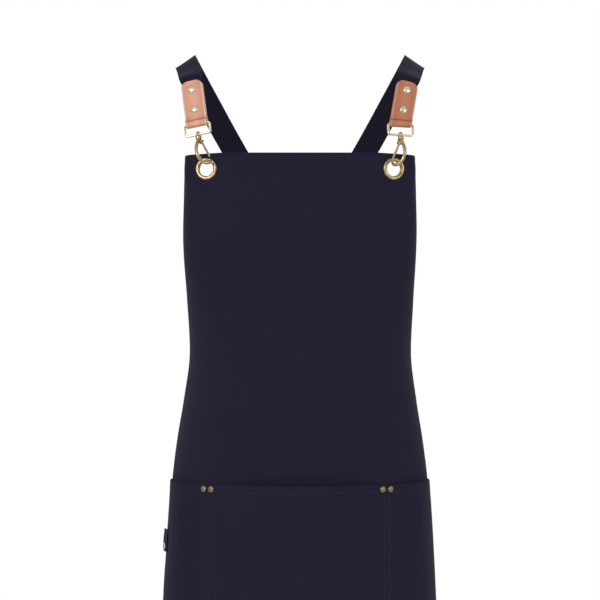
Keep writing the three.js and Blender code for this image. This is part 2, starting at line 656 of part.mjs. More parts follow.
// The hook in its own plane, as [towards the spine, up] from the bottom of the neck.
const HOOK_LINE = [
  [0.3, 1.5],
  [1.8, -2.5],
  [4.2, -8.5],
  [5.3, -15.5],
  [3.6, -22.3],
  [-0.6, -27.8],
  [-6.6, -30.6],
  [-11.6, -29.4],
  [-13.5, -25.9],
];
const GATE_PIVOT = [-2.9, -3.2];
const GATE_END = [-12.6, -22.6];
const LUG_THICKNESS = 1.6;
const EYE_THICKNESS = 1.6;

for (const [side, place] of Object.entries(SIDES)) {
  const at = new THREE.Vector3(...place.frame);
  const tab = frontAxes(place.sign, place.tabLean);
  const frame = frontAxes(place.sign, place.frameLean);

  const line = tabLine();
  const stations = tabStations(line, at, tab, place.tabLean - place.frameLean);
  const rivetAxes = [0, 1].map((n) => {
    const height = TAB_LENGTH - TAB_RIVET_FROM_TOP - n * TAB_RIVET_SPACING;
    return facing(along(at, [tab.up, height]), tab.out, tab.up);
  });
  const holes = rivetAxes.map((axes) => rivetHole(TAB_RIVET_DIAMETER, axes, 6));
  const leaf = band(stations, (i) => tabWidth(line[i][0]), TAB_THICKNESS);
  add(`strap_tab_${side}`, cut(leaf, ...holes), leather());
  rivetAxes.forEach((axes, n) => {
    const reach = leafDepth + TAB_THICKNESS / 2 + GAP;
    const name = `tab_rivet_${side}_${n === 0 ? 'upper' : 'lower'}`;
    add(name, rivetGeometry(axes, TAB_RIVET_DIAMETER, reach, -reach), brass());
  });
  place.tab = { at, axes: tab, holes };

  // Band frame: its upper bar lies in the leather's fold, its lower bar carries the hook's stem.
  const drop = FRAME_HEIGHT - FRAME_BAND;
  const centre = along(at, [frame.up, -drop / 2]);
  const frameTurn = placed(centre, frame.across, frame.up, frame.out);
  const outline = roundedRect(new THREE.Shape(), FRAME_WIDTH, FRAME_HEIGHT, 3);
  const innerWidth = FRAME_WIDTH - 2 * FRAME_BAND;
  outline.holes.push(roundedRect(new THREE.Path(), innerWidth, FRAME_HEIGHT - 2 * FRAME_BAND, 1.4));
  const loop = plate(outline, -FRAME_DEPTH / 2, FRAME_DEPTH / 2, frameTurn);
  const lowBar = along(at, [frame.up, -drop]);
  const spin = facing(lowBar, frame.up, frame.across);
  const boss = bar(3.9, -1.4, 1.3, spin);
  const bore = bar(STEM_DIAMETER / 2 + STEM_CLEARANCE, -8, 8, spin);
  add(`snap_frame_${side}`, cut(join(loop, boss), bore), brass());

  // Hook: head above the bar, stem through it, neck below, spine and bow, and a lug for the gate.
  const turn = rad(place.hookTurn);
  const spineWay = frame.across.clone().multiplyScalar(-Math.cos(turn));
  spineWay.addScaledVector(frame.out, Math.sin(turn));
  const sideWay = spineWay.clone().cross(frame.up).normalize();
  const neckTop = -1.4 - GAP;
  const neckLow = along(lowBar, [frame.up, neckTop - NECK_LENGTH]);
  const inHook = ([p, q], s = 0) => along(neckLow, [spineWay, p], [frame.up, q], [sideWay, s]);
  const stem = turned([
    [0, neckTop - NECK_LENGTH - 0.4],
    [NECK_DIAMETER / 2 - 1.4, neckTop - NECK_LENGTH - 0.4],
    [NECK_DIAMETER / 2, neckTop - NECK_LENGTH + 1.2],
    [NECK_DIAMETER / 2, neckTop - 0.8],
    [NECK_DIAMETER / 2 - 0.8, neckTop],
    [STEM_DIAMETER / 2, neckTop],
    [STEM_DIAMETER / 2, 1.3 + GAP],
    [2.5, 1.3 + GAP],
    [2.3, 2.6 + GAP],
    [1.2, 3.5 + GAP],
    [0, 3.8 + GAP],
  ], spin);
  const spine = wire(HOOK_LINE.map((p) => inHook(p)), HOOK_WIRE / 2, 16, 10);
  const pinAxes = facing(inHook(GATE_PIVOT), sideWay, spineWay);
  const lugLow = 0.2;
  const lug = bar(2.3, lugLow, lugLow + LUG_THICKNESS, pinAxes);
  const webShape = roundedRect(new THREE.Shape(), 4.4, 5.2, 1.2);
  const webAt = inHook([GATE_PIVOT[0] + 1.6, GATE_PIVOT[1] + 1.6]);
  const webAxes = placed(webAt, spineWay, frame.up, sideWay.clone().negate());
  const web = plate(webShape, -lugLow - LUG_THICKNESS + 0.1, -lugLow - 0.1, webAxes);
  const pinHole = bar(GATE_PIN_DIAMETER / 2 + 0.15, -8, 8, pinAxes);
  const springPitch = SPRING_WIRE + 0.1;
  const springRoom = SPRING_TURNS * springPitch + SPRING_WIRE;
  const pinFoot = lugLow - GAP - EYE_THICKNESS - GAP - springRoom - GAP;
  const gateRoom = bar(3.1, pinFoot - 1, lugLow - GAP / 2, pinAxes);
  add(`snap_hook_${side}`, cut(join(stem, spine, lug, web), pinHole, gateRoom), brass());

  // Gate: an eye on the pin beside the lug, and a wire down to the hook's point.
  const eye = bar(2.2, lugLow - GAP - EYE_THICKNESS, lugLow - GAP, pinAxes);
  const gateSide = -(GATE_WIRE / 2 + GAP / 2);
  const gateLine = [
    inHook([GATE_PIVOT[0] - 0.8, GATE_PIVOT[1] - 1.2], gateSide * 0.8),
    inHook([-7.6, -12.6], gateSide * 0.5),
    inHook(GATE_END, 0),
  ];
  add(`snap_gate_${side}`, cut(join(eye, wire(gateLine, GATE_WIRE / 2, 6, 10)), pinHole), brass());
  add(`gate_pin_${side}`, turned([
    [0, pinFoot - 0.5],
    [1.5, pinFoot - 0.5],
    [1.5, pinFoot],
    [GATE_PIN_DIAMETER / 2, pinFoot],
    [GATE_PIN_DIAMETER / 2, lugLow + LUG_THICKNESS + GAP],
    [1.5, lugLow + LUG_THICKNESS + GAP],
    [1.5, lugLow + LUG_THICKNESS + GAP + 0.5],
    [0, lugLow + LUG_THICKNESS + GAP + 0.5],
  ], pinAxes), brass());
  const coil = GATE_PIN_DIAMETER / 2 + GAP + SPRING_WIRE / 2;
  const coilPoints = [];
  const coilSteps = 10 * SPRING_TURNS;
  for (let i = 0; i <= coilSteps; i += 1) {
    const turns = (i / coilSteps) * SPRING_TURNS;
    const way = 2 * Math.PI * turns;
    const height = pinFoot + GAP + SPRING_WIRE / 2 + turns * springPitch;
    const point = new THREE.Vector3(coil * Math.cos(way), coil * Math.sin(way), height);
    coilPoints.push(point.applyMatrix4(pinAxes));
  }
  add(`gate_spring_${side}`, wire(coilPoints, SPRING_WIRE / 2, coilSteps, 6), steel());
}

// ---- Waist rings, their leather tabs, and sliders ----
// A flat leather strip round the ring's lower bar, one leaf on each face of the panel.
function ringTab(run) {
  const leaf = CLOTH_THICKNESS / 2 + RING_TAB_EASE + RING_TAB_THICKNESS / 2;
  const fold = RING_WIRE / 2 + GAP + RING_SWAY + RING_TAB_THICKNESS / 2;
  const line = [[RING_TAB_END, leaf], [0, leaf], [-RING_TAB_REACH + 7, leaf], [-RING_TAB_REACH + 1, fold],
    [-RING_TAB_REACH - 0.7 * fold, 0.7 * fold], [-RING_TAB_REACH - fold, 0]];
  const both = [...line, ...line.slice(0, -1).reverse().map(([height, depth]) => [height, -depth])];
  const stations = both.map(([height, depth], i) => {
    const before = both[Math.max(i - 1, 0)];
    const after = both[Math.min(i + 1, both.length - 1)];
    const way = new THREE.Vector2(after[0] - before[0], after[1] - before[1]).normalize();
    const out = run.out.clone().multiplyScalar(-way.x).addScaledVector(run.down, way.y);
    return { at: along(run.corner, [run.down, height], [run.out, depth]), across: run.across, out };
  });
  const geometry = band(stations, () => RING_TAB_WIDTH, RING_TAB_THICKNESS);
  return { geometry, reach: leaf + RING_TAB_THICKNESS / 2 + GAP };
}

for (const [side, { sign }] of Object.entries(SIDES)) {
  const run = backRun(sign);
  const rivetAxes = facing(run.corner, run.out, run.down);
  const tab = ringTab(run);
  add(`ring_tab_${side}`, cut(tab.geometry, rivetHole(TAB_RIVET_DIAMETER, rivetAxes, 8)), leather());
  add(`ring_tab_rivet_${side}`, rivetGeometry(rivetAxes, TAB_RIVET_DIAMETER, tab.reach, -tab.reach), brass());

  const middle = along(run.lowBar, [run.down, -(RING_HEIGHT - RING_WIRE) / 2]);
  const outline = roundedRect(new THREE.Shape(), RING_WIDTH, RING_HEIGHT, 3.4);
  const innerHeight = RING_HEIGHT - 2 * RING_WIRE;
  outline.holes.push(roundedRect(new THREE.Path(), RING_WIDTH - 2 * RING_WIRE, innerHeight, 1.2));
  const ringAxes = facing(middle, run.out, run.across);
  add(`waist_ring_${side}`, plate(outline, -RING_WIRE / 2, RING_WIRE / 2, ringAxes), brass());

  // Slider: side rails, crossbars over the strap and a middle bar under it.
  const axes = facing(run.slider, run.out, run.across);
  const level = STRAP_THICKNESS / 2 + GAP;
  const block = (width, height, x, y, from, to) => {
    const shape = new THREE.Shape();
    const corners = [[-1, -1], [1, -1], [1, 1], [-1, 1]];
    shape.setFromPoints(corners.map(([a, b]) => new THREE.Vector2((a * width) / 2, (b * height) / 2)));
    return plate(shape, from, to, axes.clone().multiply(new THREE.Matrix4().makeTranslation(x, y, 0)));
  };
  const high = level + SLIDER_THICKNESS;
  const rim = roundedRect(new THREE.Shape(), SLIDER_WIDTH, SLIDER_HEIGHT, 3);
  const gapHeight = SLIDER_HEIGHT - 2 * SLIDER_BAR;
  rim.holes.push(roundedRect(new THREE.Path(), SLIDER_WIDTH - 2 * SLIDER_BAR, gapHeight, 1));
  const frame = plate(rim, level, high, axes);
  const railPlace = (SLIDER_WIDTH - SLIDER_BAR) / 2;
  const railWidth = SLIDER_BAR - 0.4;
  const railSide = (n) => block(railWidth, 0.5 * SLIDER_HEIGHT, n * railPlace, 0, -high - 0.1, level + 0.5);
  const rails = [-1, 1].map(railSide);
  const middleBar = block(SLIDER_WIDTH - SLIDER_BAR, SLIDER_BAR, 0, 0, -high, -level);
  add(`slider_${side}`, join(frame, ...rails, middleBar), brass());
}

// ---- Straps: from inside the tab, over the shoulder, across the back, round the ring and up ----
function strapStations(sign) {
  const side = sign < 0 ? SIDES.left : SIDES.right;
  const { at, axes } = side.tab;
  const run = backRun(-sign);
  const flip = (v) => new THREE.Vector3(-sign * v[0], v[1], v[2]);
  const inTab = (share) => ({ at: along(at, [axes.up, share * TAB_LENGTH]), across: axes.across });
  const knots = [0.28, 0.6, 0.92, 1.03, 1.12].map(inTab);
  for (const knot of STRAP_ROUTE) knots.push({ at: flip(knot.at), across: flip(knot.across) });
  const ringTop = along(run.ring, [run.out, turnRadius]);
  const backOut = Y.clone();
  const crossAcross = run.down.clone().cross(backOut).multiplyScalar(-sign).normalize();
  const cross = along(run.cross, [run.out, turnRadius]);
  knots.push({ at: cross, across: crossAcross });
  const path = new THREE.CatmullRomCurve3(knots.map((k) => k.at), false, 'centripetal');
  const tilt = new THREE.CatmullRomCurve3(knots.map((k) => k.across), false, 'centripetal');
  const steps = 34;
  const stations = [];
  for (let i = 0; i <= steps; i += 1) {
    const way = path.getTangent(i / steps);
    const wide = tilt.getPoint(i / steps);
    const across = wide.addScaledVector(way, -wide.dot(way)).normalize();
    const out = across.clone().cross(way).multiplyScalar(-sign);
    stations.push({ at: path.getPoint(i / steps), across, out });
  }
  const straight = ringTop.distanceTo(cross);
  for (const distance of [36, straight]) {
    stations.push({ at: along(cross, [run.down, distance]), across: run.across, out: run.out });
  }
  for (let turn = 30; turn <= 180; turn += 30) {
    const out = run.out.clone().multiplyScalar(Math.cos(rad(turn)));
    out.addScaledVector(run.down, Math.sin(rad(turn)));
    stations.push({ at: along(run.ring, [out, turnRadius]), across: run.across, out });
  }
  const tailLength = SLIDER_ABOVE_RING - SLIDER_HEIGHT / 2 - 6;
  const tail = along(run.ring, [run.out, -turnRadius], [run.down, -tailLength]);
  stations.push({ at: tail, across: run.across, out: run.out.clone().negate() });
  return stations;
}

for (const [side, place] of Object.entries(SIDES)) {
  const strap = band(strapStations(place.sign), () => STRAP_WIDTH, STRAP_THICKNESS);
  add(`strap_${side}`, cut(strap, ...place.tab.holes), canvas());
}

export default root;
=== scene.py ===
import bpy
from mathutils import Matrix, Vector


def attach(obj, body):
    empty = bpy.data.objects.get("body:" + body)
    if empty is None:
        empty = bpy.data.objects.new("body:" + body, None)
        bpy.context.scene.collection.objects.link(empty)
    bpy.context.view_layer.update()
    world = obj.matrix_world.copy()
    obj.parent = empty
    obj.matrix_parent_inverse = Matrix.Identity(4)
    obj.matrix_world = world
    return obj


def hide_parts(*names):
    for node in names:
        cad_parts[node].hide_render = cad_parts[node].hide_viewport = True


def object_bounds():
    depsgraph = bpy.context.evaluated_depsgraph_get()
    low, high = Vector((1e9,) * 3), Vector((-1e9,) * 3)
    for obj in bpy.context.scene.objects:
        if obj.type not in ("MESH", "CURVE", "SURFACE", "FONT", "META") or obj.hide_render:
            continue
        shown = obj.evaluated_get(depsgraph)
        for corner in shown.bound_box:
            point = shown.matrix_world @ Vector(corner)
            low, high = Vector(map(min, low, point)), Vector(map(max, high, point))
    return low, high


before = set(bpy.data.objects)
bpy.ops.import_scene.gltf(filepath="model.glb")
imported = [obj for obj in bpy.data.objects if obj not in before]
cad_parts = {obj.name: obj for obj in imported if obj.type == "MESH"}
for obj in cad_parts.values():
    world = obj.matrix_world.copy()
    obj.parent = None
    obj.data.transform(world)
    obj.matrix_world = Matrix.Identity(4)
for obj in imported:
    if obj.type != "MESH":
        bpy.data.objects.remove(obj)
CAD_BOX = [list(corner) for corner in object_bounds()]

import math
from functools import lru_cache

import bpy
import numpy as np
from bpy.props import FloatProperty, FloatVectorProperty, PointerProperty
from mathutils import Matrix, Vector

bl_info = {
    "name": "Cross-back work apron",
    "version": (1, 0, 0),
    "blender": (4, 5, 0),
    "location": "3D View > Sidebar > Apron",
    "description": "Canvas work apron with snap hooks, leather tabs and crossed straps",
    "category": "Object",
}

# ---- Sizes, in millimetres unless a name says otherwise ----
MM = 0.001
GAP = 0.3
CLOTH_THICKNESS = 1.0
FACING_THICKNESS = 0.8
BIB_TOP_Z = -131.5
CORNER_DROOP = 3.0
HEM_WIDTH = 12.0
HEM_STITCH = 6.3
HEM_LIFT = 0.9
STITCH_GROOVE = 0.28
STITCH_PITCH = 3.3
STITCH_LENGTH = 2.5
THREAD = 0.55
POCKET_SEAMS = (-121.0, 112.0)
POCKET_BULGE_CENTRE = 12.0
POCKET_BULGE_SIDE = 7.5
POCKET_SIDE_SKEW = 0.5
POCKET_RIVET_SPACING = 11.2
POCKET_RIVET_BELOW_MOUTH = 6.0
SMALL_RIVET_DIAMETER = 8.5
LOOP_WIDTH = 22.0
LOOP_HEIGHT = 29.0
LOOP_STANDOFF = 1.4
LOOP_THICKNESS = 1.0
LOOP_DROP = 479.0
LOOP_PLACE = -205.0
EYELET_OUTER_DIAMETER = 27.5
EYELET_HOLE_DIAMETER = 18.5
EYELET_FROM_SIDE = 42.0
EYELET_FROM_TOP = 20.0
EYELET_WALL = 0.8
TAB_THICKNESS = 1.8
TAB_RIVET_DIAMETER = 10.0
TAB_RIVET_FROM_TOP = 11.5
TAB_RIVET_SPACING = 26.5
TAB_CREASE = 4.0
STRAP_TAPER = 6.0
FRAME_WIDTH = 34.0
FRAME_HEIGHT = 16.0
FRAME_BAND = 1.9
FRAME_DEPTH = 5.0
STEM_DIAMETER = 3.0
NECK_DIAMETER = 7.6
NECK_LENGTH = 4.6
HOOK_WIRE = 4.2
GATE_WIRE = 2.6
GATE_PIN_DIAMETER = 1.6
SPRING_WIRE = 0.5
SPRING_TURNS = 3
SLIDER_WIDTH = 38.0
SLIDER_HEIGHT = 22.0
SLIDER_BAR = 3.0
SLIDER_THICKNESS = 1.6
SLIDER_ABOVE_RING = 46.0
RING_WIDTH = 39.0
RING_HEIGHT = 15.0
RING_WIRE = 3.0
RING_SWAY = 0.8
RING_TAB_WIDTH = 29.0
RING_TAB_THICKNESS = 1.6
RING_TAB_FROM_EDGE = 20.0
RING_TAB_BELOW_CORNER = 4.0
RING_TAB_REACH = 31.0
RING_TAB_END = 10.0
RING_TAB_EASE = 4.2
FRONT_YAW = math.radians(16)
FRONT_PITCH = math.radians(12)
CROSS_Z = -270.0
CROSS_Y = 120.0
CROSS_OFFSET = 3.5
LUG_THICKNESS = 1.6
EYE_THICKNESS = 1.6

# The wearer's shape by drop below the bib's top: drop, half width, front, side, back, squareness.
BODY_SECTIONS = (
    (-10, 145.4, -113, -62, 96, 4.0),
    (55, 146.8, -115, -58, 100, 3.7),
    (110, 148.6, -116, -42, 104, 3.1),
    (184, 145.2, -115, -18, 106, 2.7),
    (249, 142.8, -114, -2, 108, 2.4),
    (314, 150.2, -114, 0, 112, 2.3),
    (366, 158.3, -115, 0, 116, 2.2),
    (417, 164.2, -115, 0, 118, 2.2),
    (574, 174.8, -117, 0, 120, 2.2),
    (870, 184.0, -121, 0, 124, 2.2),
)

# How each side differs: where the hook's frame hangs, its leans and the hook's swivel in degrees.
SIDES = {
    "left": {"sign": -1, "frame": (-128.8, -114.5, -96.0), "tab": 11.3, "lean": 10.6, "turn": 42},
    "right": {"sign": 1, "frame": (125.6, -114.5, -96.4), "tab": 13.6, "lean": 2.4, "turn": 48},
}

# The strap's centre line and the direction across it, from the left shoulder to the crossing.
STRAP_ROUTE = (
    ((-141.5, -66, -24), (0.85, -0.28, 0.44)),
    ((-146.6, -28, -11), (0.78, -0.4, 0.48)),
    ((-147.6, 4, -9), (0.77, -0.42, 0.47)),
    ((-138.6, 46, -25), (0.84, -0.25, 0.48)),
    ((-119.4, 76, -60), (0.87, -0.1, 0.48)),
    ((-99.1, 93, -97), (0.87, 0, 0.5)),
    ((-68.8, 107, -150), (0.87, 0, 0.5)),
    ((-30.5, 117, -216), (0.87, 0, 0.5)),
)

# The hook and gate in the hook's own plane, towards the spine and up from the neck's foot.
HOOK_LINE = (
    (0.3, 1.5),
    (1.8, -2.5),
    (4.2, -8.5),
    (5.3, -15.5),
    (3.6, -22.3),
    (-0.6, -27.8),
    (-6.6, -30.6),
    (-11.6, -29.4),
    (-13.5, -25.9),
)
GATE_PIVOT = (-2.9, -3.2)
GATE_MIDDLE = (-7.6, -12.6)
GATE_END = (-12.6, -22.6)

Z_UP = Vector((0, 0, 1))


def length_prop(label, text, default_mm):
    """A size in the panel, in metres, from its default in millimetres."""
    return FloatProperty(name=label, description=text, default=default_mm * MM, unit="LENGTH")


def colour_prop(label, text, default):
    """A colour in the panel, linear red, green and blue."""
    settings = {"size": 3, "subtype": "COLOR", "min": 0.0, "max": 1.0}
    return FloatVectorProperty(name=label, description=text, default=default, **settings)


class ApronSizes(bpy.types.PropertyGroup):
    """Sizes that a maker would change."""

    apron_length: length_prop("Apron length", "From the bib's top to the hem", 860)
    bib_width: length_prop("Bib width", "Flat width of the bib's top edge", 320)
    skirt_width: length_prop("Skirt width", "Flat width below the waist corners", 660)
    waist_drop: length_prop("Waist drop", "From the bib's top to the waist corners", 278)
    facing_depth: length_prop("Facing depth", "Reinforcement behind the bib's top", 62)
    pocket_drop: length_prop("Pocket drop", "From the bib's top to the pocket mouth", 417)
    pocket_depth: length_prop("Pocket depth", "Height of the pocket panel", 200)
    pocket_width: length_prop("Pocket width", "Flat width of the pocket panel", 560)
    strap_width: length_prop("Strap width", "Width of the shoulder straps", 31)
    strap_thickness: length_prop("Strap thickness", "Thickness of the doubled strap", 1.6)
    tab_width: length_prop("Tab width", "Width of the leather strap tabs", 27.5)
    tab_length: length_prop("Tab length", "Leather tab from its top to the frame's bar", 57)


class ApronColours(bpy.types.PropertyGroup):
    """Colours of the cloth, leather and metal."""

    canvas: colour_prop("Canvas", "Dark indigo canvas", (0.0135, 0.0116, 0.0262))
    strap: colour_prop("Strap", "Dark indigo strap", (0.0118, 0.0102, 0.0215))
    # The left tab's leather is the tan leather lightened: painted light for the side the key light falls on.
    pale_leather: colour_prop("Pale leather", "Left strap tab", (0.50, 0.235, 0.150))
    tan_leather: colour_prop("Tan leather", "Right strap tab and waist tabs", (0.36, 0.125, 0.062))
    brass: colour_prop("Antique brass", "Hooks, eyelets, rings and sliders", (0.42, 0.32, 0.17))
    # Pale brass: the brass lightened as a painted highlight, standing for the glare on the frames and tab
    # rivets.
    pale_brass: colour_prop("Pale brass", "Hook frames and tab rivets", (0.74, 0.66, 0.50))
    dark_brass: colour_prop("Dark brass", "Pocket rivets", (0.26, 0.20, 0.11))
    steel: colour_prop("Steel", "Loop rivet and springs", (0.45, 0.45, 0.47))


def size(name):
    """A size from the panel, in millimetres."""
    return getattr(bpy.context.scene.apron_sizes, name) / MM


def colour(name):
    """A colour from the panel."""
    return tuple(getattr(bpy.context.scene.apron_colours, name))


# ---- The cloth's shape on the wearer ----
def smoothstep(value, low, high):
    """0 below low, 1 above high, smooth between."""
    t = np.clip((value - low) / (high - low), 0, 1)
    return t * t * (3 - 2 * t)


def body_value(column, drop):
    """One column of the body sections at a drop, by a monotone cubic."""
    s = BODY_SECTIONS
    i = 0
    while i < len(s) - 2 and drop > s[i + 1][0]:
        i += 1

    def slope(a):
        return (s[a + 1][column] - s[a][column]) / (s[a + 1][0] - s[a][0])

    def tangent(a):
        if a in (0, len(s) - 1):
            return 0
        before, after = slope(a - 1), slope(a)
        return 0 if before * after <= 0 else 2 * before * after / (before + after)

    width = s[i + 1][0] - s[i][0]
    t = (drop - s[i][0]) / width
    ends = (2 * t**3 - 3 * t**2 + 1) * s[i][column] + (3 * t**2 - 2 * t**3) * s[i + 1][column]
    return ends + width * ((t**3 - 2 * t**2 + t) * tangent(i) + (t**3 - t**2) * tangent(i + 1))


@lru_cache(maxsize=None)
def section(drop):
    """One horizontal half section of the body, with the distance along it from the front."""
    half, front, side, back, square = (body_value(column, drop) for column in range(1, 6))
    turn = np.linspace(0, math.pi, 361)
    cosine = np.cos(turn)
    reach = np.where(cosine > 0, side - front, back - side)
    x = half * np.clip(np.sin(turn), 0, 1) ** (2 / square)
    y = side - reach * np.sign(cosine) * np.abs(cosine) ** (2 / square)
    length = np.concatenate([[0], np.cumsum(np.hypot(np.diff(x), np.diff(y)))])
    return x, y, length


def wrap(across, drop):
    """Points and outward normals of the cloth at distances across from its centre line."""
    x, y, length = section(float(drop))
    across = np.atleast_1d(np.asarray(across, float))
    distance = np.abs(across)
    sign = np.where(across < 0, -1.0, 1.0)
    ahead, behind = distance + 2, np.maximum(distance - 2, 0)
    at = np.stack([
        sign * np.interp(distance, length, x),
        np.interp(distance, length, y),
        np.full(distance.shape, BIB_TOP_Z - drop),
    ], -1)
    run_x = np.interp(ahead, length, x) - np.interp(behind, length, x)
    run_y = np.interp(ahead, length, y) - np.interp(behind, length, y)
    normal = np.stack([sign * run_y, -run_x, np.zeros_like(run_x)], -1)
    return at, normal / np.linalg.norm(normal, axis=1, keepdims=True)


def spot(across, drop):
    """One point of the cloth and its normal, as vectors."""
    at, normal = wrap(across, drop)
    return Vector(at[0]), Vector(normal[0])


def eyelet_place():
    return size("bib_width") / 2 - EYELET_FROM_SIDE


def cloth(across, drop, off):
    """Points of the cloth stood off along its normal; it lies flat round each eyelet."""
    at, normal = wrap(across, drop)
    near = np.hypot(np.abs(across) - eyelet_place(), drop - EYELET_FROM_TOP)
    flat_share = 1 - smoothstep(near, 0.8 * EYELET_OUTER_DIAMETER, 1.6 * EYELET_OUTER_DIAMETER)
    for sign in (-1, 1):
        share = (flat_share * (np.sign(across) == sign))[:, None]
        flat_at, flat_normal = wrap(sign * eyelet_place(), EYELET_FROM_TOP)
        height = (at - flat_at) @ flat_normal[0]
        at = at - share * height[:, None] * flat_normal
        normal = normal * (1 - share) + flat_normal * share
    normal = normal / np.linalg.norm(normal, axis=1, keepdims=True)
    corner = np.clip((np.abs(across) / (size("bib_width") / 2) - 0.6) / 0.4, 0, 1)
    at[:, 2] -= CORNER_DROOP * corner * (1 - smoothstep(drop, 4, 60))
    return at + normal * np.asarray(off)[:, None]


@lru_cache(maxsize=None)
def armhole():
    """The free edge from the bib's corner to the waist corner, as (half width, drop) points."""
    half, waist = size("bib_width") / 2, size("waist_drop")
    knots = np.array([
        (half, 0),
        (half + 12, 0.2 * waist),
        (half + 50, 0.7 * waist),
        (size("skirt_width") / 2, waist),
    ])
    t = np.linspace(0, 1, 121)[:, None]
    return (1 - t) ** 3 * knots[0] + 3 * (1 - t) ** 2 * t * knots[1] \
        + 3 * (1 - t) * t**2 * knots[2] + t**3 * knots[3]


def edge_half(drop):
    """Half the panel's flat width at a drop."""
    edge = armhole()
    return float(np.interp(drop, edge[:, 1], edge[:, 0]))


def ripple(across, drop):
    """Soft unevenness of hanging cloth, still near the fittings."""
    wave = (
        0.50 * np.sin(across / 41 + 1.1 * math.sin(drop / 170) + 0.6)
        + 0.35 * np.sin(across / 23 - drop / 140 + 2.1)
        + 0.25 * np.sin(drop / 37 + across / 90)
    )
    calm = smoothstep(drop, 60, 150)
    for seam in POCKET_SEAMS:
        calm = calm * smoothstep(np.hypot(across - seam, drop - size("pocket_drop")), 16, 60)
    calm = calm * smoothstep(np.hypot(across - LOOP_PLACE, drop - LOOP_DROP), 30, 70)
    corner = np.hypot(np.abs(across) - size("skirt_width") / 2, drop - size("waist_drop"))
    return wave * calm * smoothstep(corner, 40, 100)


# ---- Mesh helpers ----
def deselect():
    """Leaves nothing selected, in object mode."""
    if bpy.context.object and bpy.context.object.mode != "OBJECT":
        bpy.ops.object.mode_set(mode="OBJECT")
    bpy.ops.object.select_all(action="DESELECT")


def mesh_object(name, points_mm, faces, uv=None):
    """A new piece from points in millimetres; uv holds one pair for each point."""
    mesh = bpy.data.meshes.new(name)
    mesh.from_pydata((np.asarray(points_mm) * MM).tolist(), [], faces)
    if uv is not None:
        layer = mesh.uv_layers.new(name="cut")
        corners = np.zeros(len(mesh.loops), np.int64)
        mesh.loops.foreach_get("vertex_index", corners)
        layer.data.foreach_set("uv", (np.asarray(uv)[corners] * MM).astype(np.float32).ravel())
    mesh.validate()
    piece = bpy.data.objects.new(name, mesh)
    bpy.context.scene.collection.objects.link(piece)
    return piece


def volume_of(mesh):
    """The signed volume that a closed mesh holds."""
    mesh.calc_loop_triangles()
    total = 0.0
    for triangle in mesh.loop_triangles:
        a, b, c = (mesh.vertices[i].co for i in triangle.vertices)
        total += a.dot(b.cross(c))
    return total / 6


def face_out(piece):
    """Turns a closed piece's faces outwards."""
    if volume_of(piece.data) < 0:
        piece.data.flip_normals()
    return piece


def smooth(piece, angle=40):
    """Smooth shading with sharp edges kept."""
    deselect()
    piece.select_set(True)
    bpy.context.view_layer.objects.active = piece
    bpy.ops.object.shade_smooth_by_angle(angle=math.radians(angle))
    return piece


def layered(name, outer, inner, uv):
    """A closed sheet from an outer and an inner grid of points, with shared cut coordinates."""
    rows, columns = outer.shape[:2]
    points = np.concatenate([outer.reshape(-1, 3), inner.reshape(-1, 3)])
    ids = np.arange(rows * columns).reshape(rows, columns)
    under = ids + rows * columns
    faces = np.stack([ids[:-1, :-1], ids[1:, :-1], ids[1:, 1:], ids[:-1, 1:]], -1).reshape(-1, 4)
    back = np.stack([under[:-1, :-1], under[:-1, 1:], under[1:, 1:], under[1:, :-1]], -1).reshape(-1, 4)
    rim = np.concatenate([ids[0, :-1], ids[:-1, -1], ids[-1, :0:-1], ids[:0:-1, 0]])
    ahead = np.roll(rim, -1)
    sides = np.stack([rim, ahead, ahead + rows * columns, rim + rows * columns], -1)
    faces = np.concatenate([faces, back, sides]).tolist()
    both = np.concatenate([uv.reshape(-1, 2), uv.reshape(-1, 2)])
    return smooth(face_out(mesh_object(name, points, faces, both)), 60)


def sewn(name, runs):
    """Rows of short raised stitches; each run is (points, normals) in millimetres."""
    ring, blocks = 6, []
    profile = ((-0.5, 0.05), (-0.36, 0.8), (0.0, 1.0), (0.36, 0.8), (0.5, 0.05))
    turn = np.linspace(0, 2 * math.pi, ring, endpoint=False)
    for points, normals in runs:
        points, normals = np.asarray(points, float), np.asarray(normals, float)
        walk = np.concatenate([[0], np.cumsum(np.linalg.norm(np.diff(points, axis=0), axis=1))])

        def along(places, values, walk=walk):
            return np.stack([np.interp(places, walk, values[:, k]) for k in range(3)], -1)

        middles = np.arange(STITCH_PITCH / 2, walk[-1], STITCH_PITCH)
        at, up = along(middles, points), along(middles, normals)
        way = along(middles + 0.5, points) - along(middles - 0.5, points)
        way /= np.linalg.norm(way, axis=1, keepdims=True)
        up /= np.linalg.norm(up, axis=1, keepdims=True)
        side = np.cross(way, up)
        stitch = []
        for share, wide in profile:
            centre = at + way * share * STITCH_LENGTH - up * (0.25 * THREAD * (1 - wide))
            for angle in turn:
                reach = math.cos(angle) * side + 0.7 * math.sin(angle) * up
                stitch.append(centre + reach * (wide * THREAD / 2))
        blocks.append(np.stack(stitch, 1).reshape(-1, 3))
    per = len(profile) * ring
    one = [tuple(reversed(range(ring))), tuple(per - ring + k for k in range(ring))]
    for low in range(0, per - ring, ring):
        for k in range(ring):
            n = (k + 1) % ring
            one.append((low + k, low + n, low + ring + n, low + ring + k))
    points = np.concatenate(blocks)
    faces = [tuple(first + i for i in face) for first in range(0, len(points), per) for face in one]
    piece = face_out(mesh_object(name, points, faces))
    return smooth(piece, 80)


